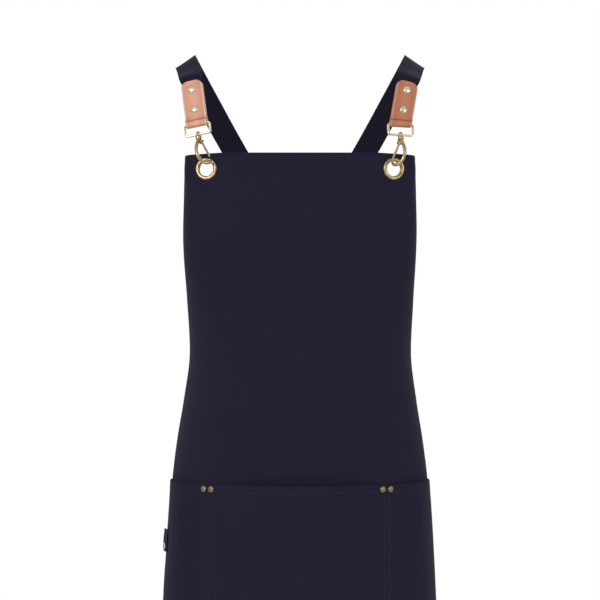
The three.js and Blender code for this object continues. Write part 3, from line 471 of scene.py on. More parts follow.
def spline(points, count):
    """Points along a centripetal curve through the given ones, and the way it runs at each."""
    points = [Vector(p) for p in points]
    last = len(points) - 1

    def at(t):
        place = min(max(t, 0), 1) * last
        i = min(int(place), last - 1)
        w = place - i
        p1, p2 = points[i], points[i + 1]
        p0 = points[i - 1] if i > 0 else 2 * points[0] - points[1]
        p3 = points[i + 2] if i + 2 <= last else 2 * points[last] - points[last - 1]
        d1 = (p2 - p1).length ** 0.5 or 1.0
        d0 = (p1 - p0).length ** 0.5 or d1
        d2 = (p3 - p2).length ** 0.5 or d1
        t1 = ((p1 - p0) / d0 - (p2 - p0) / (d0 + d1) + (p2 - p1) / d1) * d1
        t2 = ((p2 - p1) / d1 - (p3 - p1) / (d1 + d2) + (p3 - p2) / d2) * d1
        curve = (2 * p1 - 2 * p2 + t1 + t2) * w**3 + (3 * p2 - 3 * p1 - 2 * t1 - t2) * w**2
        return curve + t1 * w + p1

    steps = [i / count for i in range(count + 1)]
    return [at(t) for t in steps], [(at(t + 1e-4) - at(t - 1e-4)).normalized() for t in steps]


def strip(name, stations, width_at, thickness, rim, cuts=25, lift=None):
    """A strip of cloth or leather along stations of (place, across, out), with rounded edges."""
    shares = np.sin(np.linspace(-math.pi / 2, math.pi / 2, cuts))
    outer, inner, uv = [], [], []
    walk, before = 0.0, None
    for index, (at, across, out) in enumerate(stations):
        at, across, out = (np.array(v, float) for v in (at, across, out))
        walk += 0.0 if before is None else float(np.linalg.norm(at - before))
        before = at
        half = width_at(index) / 2
        place = shares * half
        inside = np.clip((half - np.abs(place)) / rim, 0, 1)
        edge = 0.25 + 0.75 * np.sqrt(1 - (1 - inside) ** 2)
        raised = np.zeros(cuts) if lift is None else np.array([lift(walk, p, half) for p in place])
        rise = edge * thickness / 2 + raised
        outer.append(at + place[:, None] * across + rise[:, None] * out)
        inner.append(at + place[:, None] * across - (edge * thickness / 2)[:, None] * out)
        uv.append(np.stack([place, np.full(cuts, walk)], -1))
    return layered(name, np.array(outer), np.array(inner), np.array(uv))


def matrix_of(at, x, y, z):
    """A place with its own axes, from millimetres to metres."""
    turn = Matrix((x, y, z)).transposed().to_4x4()
    return Matrix.Translation(Vector(at) * MM) @ turn @ Matrix.Scale(MM, 4)


def facing(at, direction, sideways):
    """Axes at a place, Z along a direction and X as near as possible to a second one."""
    z = Vector(direction).normalized()
    x = (Vector(sideways) - z * Vector(sideways).dot(z)).normalized()
    return matrix_of(at, x, z.cross(x), z)


def settle(piece, place):
    """Puts a piece modelled in millimetres at its place and leaves its object at the origin."""
    if bpy.context.object and bpy.context.object.mode != "OBJECT":
        bpy.ops.object.mode_set(mode="OBJECT")
    piece.data.transform(place)
    piece.data.update()
    return face_out(piece)


def start_piece(name):
    """The last primitive added becomes the named piece and is open for editing."""
    piece = bpy.context.object
    piece.name = piece.data.name = name
    bpy.ops.object.mode_set(mode="EDIT")
    return piece


def apply_modifier(piece, kind, **settings):
    """Adds a modifier, sets it and applies it."""
    deselect()
    piece.select_set(True)
    bpy.context.view_layer.objects.active = piece
    modifier = piece.modifiers.new(kind.title(), kind)
    for key, value in settings.items():
        setattr(modifier, key, value)
    bpy.ops.object.modifier_apply(modifier=modifier.name)


def turned(name, outline, place, steps=48, round_edges=0.12):
    """A turned piece: its half outline of (radius, height) points is drawn and spun about Z."""
    deselect()
    bpy.ops.mesh.primitive_plane_add(size=0.1, location=(0, 0, 0))
    piece = start_piece(name)
    bpy.ops.mesh.select_all(action="SELECT")
    bpy.ops.mesh.merge(type="CENTER")
    bpy.ops.transform.translate(value=(outline[0][0], 0, outline[0][1]))
    for (r0, h0), (r1, h1) in zip(outline, outline[1:]):
        step = {"value": (r1 - r0, 0, h1 - h0)}
        bpy.ops.mesh.extrude_region_move(TRANSFORM_OT_translate=step)
    bpy.ops.mesh.select_all(action="SELECT")
    spin = {"angle": 2 * math.pi, "center": (0, 0, 0), "axis": (0, 0, 1)}
    bpy.ops.mesh.spin(steps=steps, dupli=False, **spin)
    bpy.ops.mesh.select_all(action="SELECT")
    bpy.ops.mesh.remove_doubles(threshold=0.001)
    bpy.ops.mesh.normals_make_consistent(inside=False)
    bpy.ops.object.mode_set(mode="OBJECT")
    if round_edges:
        bevel = {"width": round_edges, "segments": 2, "limit_method": "ANGLE"}
        apply_modifier(piece, "BEVEL", angle_limit=math.radians(35), **bevel)
    return smooth(settle(piece, place))


def loop_plate(name, width, height, band, depth, corner, place, round_edges):
    """A flat band bent into a rounded rectangle: a plate, its corners rounded, its middle cut out."""
    deselect()
    bpy.ops.mesh.primitive_plane_add(size=1, location=(0, 0, 0))
    piece = start_piece(name)
    bpy.ops.mesh.select_all(action="SELECT")
    bpy.ops.transform.resize(value=(width, height, 1))
    bpy.ops.transform.translate(value=(0, 0, -depth / 2))
    bpy.ops.mesh.bevel(offset=corner, segments=6, affect="VERTICES")
    bpy.ops.mesh.select_all(action="SELECT")
    bpy.ops.mesh.inset(thickness=band, depth=0)
    bpy.ops.mesh.delete(type="FACE")
    bpy.ops.mesh.select_all(action="SELECT")
    bpy.ops.mesh.extrude_region_move(TRANSFORM_OT_translate={"value": (0, 0, depth)})
    bpy.ops.mesh.select_all(action="SELECT")
    bpy.ops.mesh.normals_make_consistent(inside=False)
    bpy.ops.object.mode_set(mode="OBJECT")
    bevel = {"width": round_edges, "segments": 3, "limit_method": "ANGLE"}
    apply_modifier(piece, "BEVEL", angle_limit=math.radians(50), **bevel)
    return smooth(settle(piece, place))


def block(name, width, height, low, high, x, y, place, round_edges):
    """A small bar with rounded edges, from one height to another."""
    deselect()
    bpy.ops.mesh.primitive_cube_add(size=1, location=(0, 0, 0))
    piece = start_piece(name)
    bpy.ops.mesh.select_all(action="SELECT")
    bpy.ops.transform.resize(value=(width, height, high - low))
    bpy.ops.transform.translate(value=(x, y, (high + low) / 2))
    bpy.ops.mesh.bevel(offset=round_edges, segments=3, affect="EDGES")
    return smooth(settle(piece, place))


def wire(name, points, radii, steps=64, sides=20):
    """A round wire through points in millimetres, thicker or thinner along its way."""
    line, ways = spline(points, steps)
    reach = np.interp(np.linspace(0, 1, steps + 1), np.linspace(0, 1, len(radii)), radii)
    side = ways[0].orthogonal().normalized()
    rings = []
    for at, way, radius in zip(line, ways, reach):
        side = (side - way * side.dot(way)).normalized()
        other = way.cross(side)
        turn = [2 * math.pi * k / sides for k in range(sides)]
        rings.append([at + (side * math.cos(a) + other * math.sin(a)) * radius for a in turn])
    points = [tuple(p) for ring in rings for p in ring]
    faces = []
    for i in range(steps):
        for k in range(sides):
            n = (k + 1) % sides
            a, b = i * sides, (i + 1) * sides
            faces.append((a + k, a + n, b + n, b + k))
    faces.append(tuple(reversed(range(sides))))
    faces.append(tuple(steps * sides + k for k in range(sides)))
    return smooth(face_out(mesh_object(name, points, faces)), 50)


def weld(piece, *others):
    """Joins closed pieces into one skin."""
    for other in others:
        apply_modifier(piece, "BOOLEAN", operation="UNION", object=other, solver="EXACT")
        bpy.data.objects.remove(other)
    return smooth(piece)


def cut_away(piece, *tools):
    """Cuts closed tools out of a piece."""
    for tool in tools:
        apply_modifier(piece, "BOOLEAN", operation="DIFFERENCE", object=tool, solver="EXACT")
        bpy.data.objects.remove(tool)
    return piece


def drill(at_matrix, radius, reach):
    """A plain round tool for cutting a hole."""
    outline = [(0, -reach), (radius, -reach), (radius, reach), (0, reach)]
    return turned("drill", outline, at_matrix, 48, 0)


# ---- Finishes ----
def new_material(name, base, roughness, metallic=0.0):
    """A material, its shader, and a function that adds linked nodes to it."""
    material = bpy.data.materials.new(name)
    material.use_nodes = True
    tree = material.node_tree
    shader = tree.nodes["Principled BSDF"]
    shader.inputs["Base Color"].default_value = (*base, 1)
    shader.inputs["Roughness"].default_value = roughness
    shader.inputs["Metallic"].default_value = metallic
    material.diffuse_color = (*base, 1)

    def add(kind, inputs=(), **settings):
        node = tree.nodes.new(kind)
        for key, value in settings.items():
            setattr(node, key, value)
        for key, value in dict(inputs).items():
            if isinstance(value, bpy.types.NodeSocket):
                tree.links.new(value, node.inputs[key])
            else:
                node.inputs[key].default_value = value
        return node

    return material, shader, add, tree.links.new


def tinted(base, gain):
    """A colour made lighter or darker, as a node value."""
    return (*(min(c * gain, 1) for c in base), 1)


def mixed(add, factor, low, high):
    """A mix of two colours by a factor socket."""
    node = add("ShaderNodeMix", {"Factor": factor}, data_type="RGBA")
    node.inputs[6].default_value = low
    node.inputs[7].default_value = high
    return node.outputs[2]


def summed(add, first, share, second):
    """A share of one node's value added to another's."""
    values = {0: first.outputs[0], 1: share, 2: second.outputs[0]}
    return add("ShaderNodeMath", values, operation="MULTIPLY_ADD")


def woven(name, base, thread_pitch, twill):
    """Matt cotton: crossing threads, slubs, faded patches and a soft nap."""
    material, shader, add, link = new_material(name, base, 0.92)
    uv = add("ShaderNodeUVMap", uv_map="cut").outputs[0]
    wave_period = 0.314
    scale = wave_period / (thread_pitch * MM)
    warp = add("ShaderNodeTexWave", {"Vector": uv, "Scale": scale, "Distortion": 0.6}, bands_direction="X")
    weft = add("ShaderNodeTexWave", {"Vector": uv, "Scale": scale, "Distortion": 0.6}, bands_direction="Y")
    if twill:
        weft.bands_direction = "DIAGONAL"
    threads = add("ShaderNodeMath", {0: warp.outputs[1], 1: weft.outputs[1]}, operation="MULTIPLY")
    slubs = add("ShaderNodeTexNoise", {"Vector": uv, "Scale": 420.0, "Detail": 3.0, "Roughness": 0.6})
    clouds = add("ShaderNodeTexNoise", {"Vector": uv, "Scale": 9.0, "Detail": 4.0, "Roughness": 0.6})
    tone = add("ShaderNodeMath", {0: threads.outputs[0], 1: 0.25}, operation="MULTIPLY")
    tone = summed(add, slubs, 0.45, tone)
    tone = summed(add, clouds, 0.5, tone)
    link(mixed(add, tone.outputs[0], tinted(base, 0.78), tinted(base, 1.25)), shader.inputs["Base Color"])
    height = summed(add, slubs, 0.5, threads)
    bump = add("ShaderNodeBump", {"Height": height.outputs[0], "Strength": 0.35, "Distance": 0.0002})
    link(bump.outputs[0], shader.inputs["Normal"])
    shader.inputs["Sheen Weight"].default_value = 0.03
    shader.inputs["Sheen Roughness"].default_value = 0.5
    shader.inputs["Specular IOR Level"].default_value = 0.06
    return material


def thread_finish(base):
    """Twisted cotton thread."""
    material, shader, add, link = new_material("thread", base, 0.8)
    where = add("ShaderNodeTexCoord").outputs["Object"]
    noise = add("ShaderNodeTexNoise", {"Vector": where, "Scale": 900.0, "Detail": 2.0})
    link(mixed(add, noise.outputs[0], tinted(base, 0.7), tinted(base, 1.5)), shader.inputs["Base Color"])
    bump = add("ShaderNodeBump", {"Height": noise.outputs[0], "Strength": 0.4, "Distance": 0.0001})
    link(bump.outputs[0], shader.inputs["Normal"])
    return material


def leather_finish(name, base, half_width):
    """Vegetable-tanned leather: pores, handling marks, a tooled rim, painted shade in a crease by the fold
    and a painted highlight down the middle.
    """
    material, shader, add, link = new_material(name, base, 0.42)
    uv = add("ShaderNodeUVMap", uv_map="cut").outputs[0]
    axes = add("ShaderNodeSeparateXYZ", {"Vector": uv})
    from_middle = add("ShaderNodeMath", {0: axes.outputs["X"]}, operation="ABSOLUTE")
    rim_facts = {"From Min": (half_width - 2.1) * MM, "From Max": (half_width - 1.7) * MM}
    rim = add("ShaderNodeMapRange", {"Value": from_middle.outputs[0], **rim_facts})
    # Painted highlight: the tone is raised towards the strip's middle line.
    painted_highlight_facts = {"From Min": half_width * 0.75 * MM, "From Max": 0.0, "To Max": 0.45}
    middle = add("ShaderNodeMapRange", {"Value": from_middle.outputs[0], **painted_highlight_facts})
    # Painted shade: a dark band across the tab at its crease by the frame's bar.
    fold_place = (size("tab_length") - TAB_CREASE) * MM
    from_fold = add("ShaderNodeMath", {0: axes.outputs["Y"], 1: fold_place}, operation="SUBTRACT")
    from_fold = add("ShaderNodeMath", {0: from_fold.outputs[0]}, operation="ABSOLUTE")
    crease_shade_facts = {"From Min": 1.4 * MM, "From Max": 0.3 * MM, "To Max": 0.8}
    fold = add("ShaderNodeMapRange", {"Value": from_fold.outputs[0], **crease_shade_facts})
    pores = add("ShaderNodeTexVoronoi", {"Vector": uv, "Scale": 1100.0})
    grain = add("ShaderNodeTexNoise", {"Vector": uv, "Scale": 340.0, "Detail": 5.0, "Roughness": 0.65})
    patches = add("ShaderNodeTexNoise", {"Vector": uv, "Scale": 45.0, "Detail": 4.0, "Roughness": 0.6})
    tone = add("ShaderNodeMath", {0: grain.outputs[0], 1: 0.35}, operation="MULTIPLY")
    tone = summed(add, patches, 0.75, tone)
    tone = add("ShaderNodeMath", {0: tone.outputs[0], 1: middle.outputs[0]}, operation="ADD")
    hide_and_painted_highlight = mixed(add, tone.outputs[0], tinted(base, 0.72), tinted(base, 1.3))
    edged = add("ShaderNodeMix", {"Factor": rim.outputs[0]}, data_type="RGBA")
    link(hide_and_painted_highlight, edged.inputs[6])
    edged.inputs[7].default_value = tinted((base[0], base[1] * 1.25, base[2] * 1.35), 1.35)
    with_painted_crease_shade = add("ShaderNodeMix", {"Factor": fold.outputs[0]}, data_type="RGBA")
    link(edged.outputs[2], with_painted_crease_shade.inputs[6])
    # The painted shade colour in the crease.
    with_painted_crease_shade.inputs[7].default_value = tinted((base[0], base[1] * 0.7, base[2] * 0.5), 0.45)
    link(with_painted_crease_shade.outputs[2], shader.inputs["Base Color"])
    rough = add("ShaderNodeMapRange", {"Value": patches.outputs[0], "To Min": 0.3, "To Max": 0.5})
    link(rough.outputs[0], shader.inputs["Roughness"])
    height = summed(add, pores, 0.4, grain)
    bump = add("ShaderNodeBump", {"Height": height.outputs[0], "Strength": 0.3, "Distance": 0.0003})
    link(bump.outputs[0], shader.inputs["Normal"])
    return material


def metal_finish(name, base, roughness, patina):
    """Plated metal: tarnish in patches, fine scratches and a worn shine."""
    material, shader, add, link = new_material(name, base, roughness, 1.0)
    where = add("ShaderNodeTexCoord").outputs["Object"]
    patches = add("ShaderNodeTexNoise", {"Vector": where, "Scale": 160.0, "Detail": 6.0, "Roughness": 0.65})
    mapping = add("ShaderNodeMapping", {"Vector": where, "Scale": (1.0, 1.0, 12.0)})
    scratches = add("ShaderNodeTexNoise", {"Vector": mapping.outputs[0], "Scale": 900.0, "Detail": 2.0})
    spread = add("ShaderNodeMapRange", {"Value": patches.outputs[0], "From Min": 0.35, "From Max": 0.65})
    dark = tinted((base[0], base[1] * 0.93, base[2] * 0.8), 1 - patina)
    link(mixed(add, spread.outputs[0], dark, tinted(base, 1.12)), shader.inputs["Base Color"])
    low, high = roughness * 0.75, roughness * 1.5
    rough = add("ShaderNodeMapRange", {"Value": patches.outputs[0], "To Min": high, "To Max": low})
    link(rough.outputs[0], shader.inputs["Roughness"])
    bump = add("ShaderNodeBump", {"Height": scratches.outputs[0], "Strength": 0.12, "Distance": 0.0001})
    link(bump.outputs[0], shader.inputs["Normal"])
    return material


@lru_cache(maxsize=None)
def finish(kind):
    """Each finish is made once and shared by its pieces."""
    makers = {
        "canvas": lambda: woven("indigo_canvas", colour("canvas"), 0.95, False),
        "strap_twill": lambda: woven("indigo_twill", colour("strap"), 0.8, True),
        "thread": lambda: thread_finish(tuple(1.5 * c for c in colour("canvas"))),
        "pale_leather": lambda: leather_finish("pale_leather", colour("pale_leather"), size("tab_width") / 2),
        "tan_leather": lambda: leather_finish("tan_leather", colour("tan_leather"), size("tab_width") / 2),
        "antique_brass": lambda: metal_finish("antique_brass", colour("brass"), 0.26, 0.4),
        "pale_brass": lambda: metal_finish("pale_brass", colour("pale_brass"), 0.2, 0.25),
        "dark_brass": lambda: metal_finish("dark_brass", colour("dark_brass"), 0.32, 0.5),
        "steel_rivet": lambda: metal_finish("dull_steel", colour("steel"), 0.3, 0.3),
        "spring_steel": lambda: metal_finish("spring_steel", colour("steel"), 0.22, 0.15),
    }
    return makers[kind]()


def deliver(piece, kind, body, *nodes):
    """Gives a piece its finish, its body and the CAD nodes that it stands for."""
    piece.data.materials.clear()
    piece.data.materials.append(finish(kind))
    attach(piece, body)
    if nodes:
        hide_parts(*nodes)
    return piece


# ---- Panel, facing and pocket ----
HALF_CLOTH = CLOTH_THICKNESS / 2
FACING_MIDDLE = -(HALF_CLOTH + GAP + FACING_THICKNESS / 2)
POCKET_FLOOR = HALF_CLOTH + GAP
SEAM_FLAT = POCKET_RIVET_SPACING / 2 + SMALL_RIVET_DIAMETER / 2


def stops(low, high, step):
    """Evenly spaced places from low to high, no further apart than step."""
    return np.linspace(low, high, max(2, math.ceil((high - low) / step) + 1))


def pocket_lift(across, drop):
    """How far the pocket stands off the panel between its seams."""
    across = np.asarray(across, float)
    half = size("pocket_width") / 2
    left, right = POCKET_SEAMS
    down = np.clip((drop - size("pocket_drop")) / size("pocket_depth"), 0, 1)
    fall = max(math.cos(math.pi / 2 * float(down)), 0) ** 0.8
    mouths = (
        (across < left, left, -half, POCKET_BULGE_SIDE, POCKET_SIDE_SKEW, 4),
        (across > right, right, half, POCKET_BULGE_SIDE, POCKET_SIDE_SKEW, 4),
        ((across >= left) & (across <= right), left, right, POCKET_BULGE_CENTRE, 1, 1),
    )
    lift = np.zeros(across.shape)
    for inside, start, end, bulge, skew, peak in mouths:
        span = abs(end - start) - 2 * SEAM_FLAT
        t = np.clip((np.abs(across - start) - SEAM_FLAT) / span, 0, 1)
        rise = bulge * np.clip(np.sin(math.pi * t**skew), 0, 1) ** peak * fall
        lift = np.where(inside, rise, lift)
    return lift


def groove(distance):
    """The dent of a row of stitches at a distance from it."""
    return -STITCH_GROOVE * np.exp(-((distance / 0.9) ** 2))


def hem_rise(distance, fold_side):
    """A turned hem by distance from the edge: a thicker band inside, a soft ridge outside."""
    band = 1 - smoothstep(distance, HEM_WIDTH - 1.2, HEM_WIDTH + 0.6)
    edge = smoothstep(distance, -0.01, 1.0)
    lift = HEM_LIFT if fold_side else 0.22
    return lift * band * (0.35 + 0.65 * edge) + (0 if fold_side else 1) * groove(distance - HEM_STITCH)


def panel_edge_distance(across, drop):
    """How far a point of the panel is from its nearest edge."""
    side = edge_half(drop) - np.abs(across)
    ends = min(drop, size("apron_length") - drop)
    return np.minimum(side, ends)


def make_panel():
    """The canvas panel with its hems, cut through at the eyelets."""
    top = stops(0, 60, 2.6)
    rest = stops(60, size("apron_length"), 5.2)[1:]
    last = size("apron_length") - np.array([9.5, 6.3, 3.0, 0.8])
    drops = np.unique(np.concatenate([top, rest, last]))
    shares = np.linspace(-1, 1, 119)
    edge_shares = 1 - np.array([0.3, 1.0, 3.5, 5.6, 6.3, 7.0, 9.5, 11.6, 13.0]) / 190
    shares = np.unique(np.concatenate([shares, edge_shares, -edge_shares]))
    outer, inner, uv = [], [], []
    for drop in drops:
        across = shares * edge_half(drop)
        distance = panel_edge_distance(across, drop)
        wave = ripple(across, drop)
        outer.append(cloth(across, drop, HALF_CLOTH + wave + hem_rise(distance, False)))
        inner.append(cloth(across, drop, -HALF_CLOTH + wave))
        uv.append(np.stack([across, np.full(across.shape, drop)], -1))
    panel = layered("body_panel", np.array(outer), np.array(inner), np.array(uv))
    tools = [drill(eyelet_axes(sign), EYELET_HOLE_DIAMETER / 2 + EYELET_WALL + GAP, 6) for sign in (-1, 1)]
    cut_away(panel, *tools)
    deliver(panel, "canvas", "apron", "body_panel")
    flat_area = float(np.trapz([2 * edge_half(d) for d in drops], drops)) * MM * MM
    flat = (size("skirt_width") * MM, size("apron_length") * MM)


def make_facing():
    """The doubled strip behind the bib's top."""
    shares = np.linspace(-1, 1, 121)
    outer, inner, uv = [], [], []
    for drop in stops(0.6, size("facing_depth"), 2.6):
        across = shares * (edge_half(drop) - 0.8)
        low = size("facing_depth") - drop
        ridge = 0.25 * np.exp(-((low - 2.5) ** 2) / 3) * np.ones(across.shape)
        outer.append(cloth(across, drop, np.full(across.shape, FACING_MIDDLE + FACING_THICKNESS / 2)))
        inner.append(cloth(across, drop, FACING_MIDDLE - FACING_THICKNESS / 2 - ridge))
        uv.append(np.stack([across, np.full(across.shape, drop)], -1))
    piece = layered("bib_facing", np.array(outer), np.array(inner), np.array(uv))
    tools = [drill(eyelet_axes(sign), EYELET_HOLE_DIAMETER / 2 + EYELET_WALL + GAP, 6) for sign in (-1, 1)]
    cut_away(piece, *tools)
    deliver(piece, "canvas", "apron", "bib_facing")
    area = float(np.trapz([2 * edge_half(d) for d in (0, 31, 62)], (0, 31, 62))) * MM * MM
    width = 2 * edge_half(size("facing_depth")) * MM
    flat = (width, size("facing_depth") * MM)


def pocket_rise(across, drop):
    """The pocket cloth's height over the panel, with its mouth hem and seams."""
    below = drop - size("pocket_drop")
    mouth = 0.25 * (1 - smoothstep(below, 10, 12)) + groove(below - 9)
    seams = sum(groove(across - seam - side) for seam in POCKET_SEAMS for side in (-3.2, 3.2))
    side = groove(size("pocket_width") / 2 - np.abs(across) - 2.5)
    foot = groove(size("pocket_depth") - below - 2.5)
    return mouth + seams + side + foot


def make_pocket():
    """The pocket panel, standing open at each of its three mouths."""
    half, top = size("pocket_width") / 2, size("pocket_drop")
    drops = np.unique(np.concatenate([top + np.array([0, 0.7, 1.8, 8.0, 9.0, 10.0, 11.5]),
                                      stops(top + 14, top + size("pocket_depth"), 4.4)]))
    seams = [seam + side for seam in POCKET_SEAMS for side in (-4.2, -3.2, -2.2, 2.2, 3.2, 4.2)]
    across = np.unique(np.concatenate([stops(-half, half, 3.8), seams, [1.5 - half, 2.5 - half, 3.5 - half],
                                       [half - 1.5, half - 2.5, half - 3.5]]))
    outer, inner, uv = [], [], []
    for drop in drops:
        floor = POCKET_FLOOR + pocket_lift(across, drop) + ripple(across, drop)
        hem = 0.5 * (1 - float(smoothstep(drop - top, 10, 12)))
        outer.append(cloth(across, drop, floor + CLOTH_THICKNESS + pocket_rise(across, drop)))
        inner.append(cloth(across, drop, floor - hem * smoothstep(pocket_lift(across, drop), 0.5, 2)))
        uv.append(np.stack([across, np.full(across.shape, drop)], -1))
    piece = layered("pocket_panel", np.array(outer), np.array(inner), np.array(uv))
    deliver(piece, "canvas", "apron", "pocket_panel")
    flat = (size("pocket_width") * MM, size("pocket_depth") * MM)


def cloth_run(places, off):
    """A stitch run over the cloth: places are (across, drop) pairs."""
    points, normals = [], []
    for across, drop in places:
        base = cloth(np.array([across]), drop, [0.0])[0]
        _, normal = wrap(across, drop)
        height = off + ripple(np.array([across]), drop)[0]
        points.append(base + normal[0] * height)
        normals.append(normal[0])
    return points, normals


def make_stitching():
    """Rows of stitches along the hems and the pocket."""
    length, waist = size("apron_length"), size("waist_drop")
    level = HALF_CLOTH + 0.05
    runs = []
    for sign in (-1, 1):
        drops = np.concatenate([np.linspace(HEM_STITCH, waist, 60), np.linspace(waist + 4, length - 6, 60)])
        runs.append(cloth_run([(sign * (edge_half(d) - HEM_STITCH), d) for d in drops], level))
    for drop in (HEM_STITCH, length - HEM_STITCH):
        half = edge_half(drop) - HEM_STITCH
        runs.append(cloth_run([(a, drop) for a in np.linspace(-half, half, 150)], level))
    piece = deliver(sewn("hem_stitching", runs), "thread", "apron")

    half, top, depth = size("pocket_width") / 2, size("pocket_drop"), size("pocket_depth")
    pocket = []

    def run(places):
        points, normals = [], []
        for across, drop in places:
            lift = float(pocket_lift(np.array([across]), drop)[0])
            p, n = cloth_run([(across, drop)], POCKET_FLOOR + CLOTH_THICKNESS + lift)
            points += p
            normals += n
        pocket.append((points, normals))

    for a, b in zip((-half, *POCKET_SEAMS), (*POCKET_SEAMS, half)):
        run([(x, top + 9) for x in np.linspace(a + 5, b - 5, 60)])
    for seam in POCKET_SEAMS:
        for side in (-3.2, 3.2):
            run([(seam + side, d) for d in np.linspace(top + 14, top + depth - 3, 50)])
    for sign in (-1, 1):
        run([(sign * (half - 2.5), d) for d in np.linspace(top + 2, top + depth - 3, 50)])
    run([(x, top + depth - 2.5) for x in np.linspace(3 - half, half - 3, 150)])
    deliver(sewn("pocket_stitching", pocket), "thread", "apron")
    return piece


# ---- Rivets and eyelets ----
def eyelet_axes(sign):
    at, normal = spot(sign * eyelet_place(), EYELET_FROM_TOP)
    return facing(at, normal, Z_UP)


def rivet(name, axes, diameter, front, behind, kind, body="apron"):
    """A rivet: a domed cap with a rolled rim, a shank and a flat back."""
    cap = diameter / 2
    shank = 0.17 * diameter
    outline = [
        (0, behind - 0.8),
        (0.68 * cap, behind - 0.8),
        (0.8 * cap, behind - 0.4),
        (0.78 * cap, behind),
        (shank, behind),
        (shank, front),
        (0.97 * cap, front),
        (cap, front + 0.04 * diameter),
        (0.95 * cap, front + 0.11 * diameter),
        (0.82 * cap, front + 0.155 * diameter),
        (0.62 * cap, front + 0.2 * diameter),
        (0.34 * cap, front + 0.232 * diameter),
        (0, front + 0.24 * diameter),
    ]
    return deliver(turned(name, outline, axes, 40, 0), kind, body, name)


def make_eyelets():
    """Rolled eyelets in the bib's corners with their washers behind."""
    inner, outer = EYELET_HOLE_DIAMETER / 2, EYELET_OUTER_DIAMETER / 2
    front = HALF_CLOTH + GAP
    rear = FACING_MIDDLE - FACING_THICKNESS / 2 - GAP - 0.2
    washer = 0.7
    wall = inner + EYELET_WALL
    for side, facts in SIDES.items():
        axes = eyelet_axes(facts["sign"])
        face = [
            (wall, front),
            (outer - 0.1, front),
            (outer, front + 0.25),
            (outer - 0.35, front + 0.85),
            (outer - 1.0, front + 1.25),
            (outer - 1.9, front + 1.4),
            (outer - 2.9, front + 1.3),
            (inner + 0.9, front + 1.0),
            (inner + 0.3, front + 0.6),
            (inner, front),
            (inner, rear - washer - GAP),
            (wall, rear - washer - GAP),
            (wall, front),
        ]
        deliver(turned(f"eyelet_{side}", face, axes, 72, 0), "antique_brass", "apron", f"eyelet_{side}")
        back = [
            (wall + GAP, rear),
            (wall + GAP, rear - washer),
            (outer - 1.2, rear - washer),
            (outer - 0.5, rear - washer + 0.3),
            (outer - 0.5, rear),
            (wall + GAP, rear),
        ]
        name = f"eyelet_washer_{side}"
        deliver(turned(name, back, axes, 72, 0), "antique_brass", "apron", name)


def make_pocket_rivets():
    """Two small rivets at the top of each pocket seam."""
    front = POCKET_FLOOR + CLOTH_THICKNESS + GAP
    for side, seam in zip(("left", "right"), POCKET_SEAMS):
        for place, step in (("a", -0.5), ("b", 0.5)):
            drop = size("pocket_drop") + POCKET_RIVET_BELOW_MOUTH
            at, normal = spot(seam + step * POCKET_RIVET_SPACING, drop)
            name = f"pocket_rivet_{side}_{place}"
            axes = facing(at, normal, Z_UP)
            rivet(name, axes, SMALL_RIVET_DIAMETER, front, -HALF_CLOTH - GAP, "dark_brass")


# ---- Towel loop ----
def make_towel_loop():
    """A strip that stands off the pocket's side, turned under and riveted below."""
    at, out = spot(LOOP_PLACE, LOOP_DROP + LOOP_HEIGHT / 2)
    side = Z_UP.cross(out) * -1
    lift = float(pocket_lift(np.array([LOOP_PLACE]), LOOP_DROP)[0])
    base = POCKET_FLOOR + CLOTH_THICKNESS + lift + GAP
    shape = [(0.5, 0), (0.36, 0.2), (0.16, 0.75), (-0.06, 1), (-0.44, 1), (-0.49, 0.8), (-0.5, 0.2)]
    line = []
    for up, off in shape:
        away = out * (base + LOOP_THICKNESS / 2 + off * LOOP_STANDOFF)
        line.append(at + Z_UP * up * LOOP_HEIGHT + away)
    points, ways = spline(line, 48)
    stations = [(p, side, side.cross(w)) for p, w in zip(points, ways)]
    if stations[0][2].dot(out) < 0:
        stations = [(p, s, -n) for p, s, n in stations]

    def dent(walk, place, half):
        return float(groove(half - abs(place) - 2.5)) * 0.7

    piece = strip("towel_loop", stations, lambda i: LOOP_WIDTH, LOOP_THICKNESS, 0.6, 25, dent)
    deliver(piece, "canvas", "apron", "towel_loop")
    front = base + LOOP_STANDOFF + LOOP_THICKNESS + GAP
    axes = facing(at - Z_UP * 0.25 * LOOP_HEIGHT, out, Z_UP)
    rivet("towel_loop_rivet", axes, SMALL_RIVET_DIAMETER, front, -HALF_CLOTH - 1, "steel_rivet")


# ---- Leather tabs and snap hooks ----
def front_axes(sign, lean):
    """Out, up and across (towards the apron's centre) of a piece that leans in its own plane."""
    flat_out = Vector((sign * math.sin(FRONT_YAW), -math.cos(FRONT_YAW), 0))
    inward = Vector((-sign * math.cos(FRONT_YAW), -math.sin(FRONT_YAW), 0))
    climb = Z_UP * math.cos(FRONT_PITCH) - flat_out * math.sin(FRONT_PITCH)
    out = flat_out * math.cos(FRONT_PITCH) + Z_UP * math.sin(FRONT_PITCH)
    lean = math.radians(lean)
    up = climb * math.cos(lean) - inward * math.sin(lean)
    across = inward * math.cos(lean) + climb * math.sin(lean)
    return out, up, across


def tab_outline():
    """The tab's middle line as (height, depth): front leaf down, round the bar, back leaf up."""
    length = size("tab_length")
    leaf = size("strap_thickness") / 2 + GAP + TAB_THICKNESS / 2
    turn = FRAME_DEPTH / 2 + GAP + 0.3 + TAB_THICKNESS / 2
    drop = FRAME_BAND / 2 + GAP + 0.3 + TAB_THICKNESS / 2
    front = [(length - step, leaf) for step in (0, 0.3, 0.8, 1.6, 2.8, 4.5, 6.5, 9, 13, 20, 27, 34, 40)]
    front += [(14, leaf), (11.5, leaf), (8, leaf + 0.5), (4.5, turn - 0.1), (1, turn + 0.1)]
    front += [(1.6 - drop, turn), (0.5 - drop, turn - 0.6), (-drop, turn - 1.8)]
    return front + [(height, -depth) for height, depth in reversed(front)]


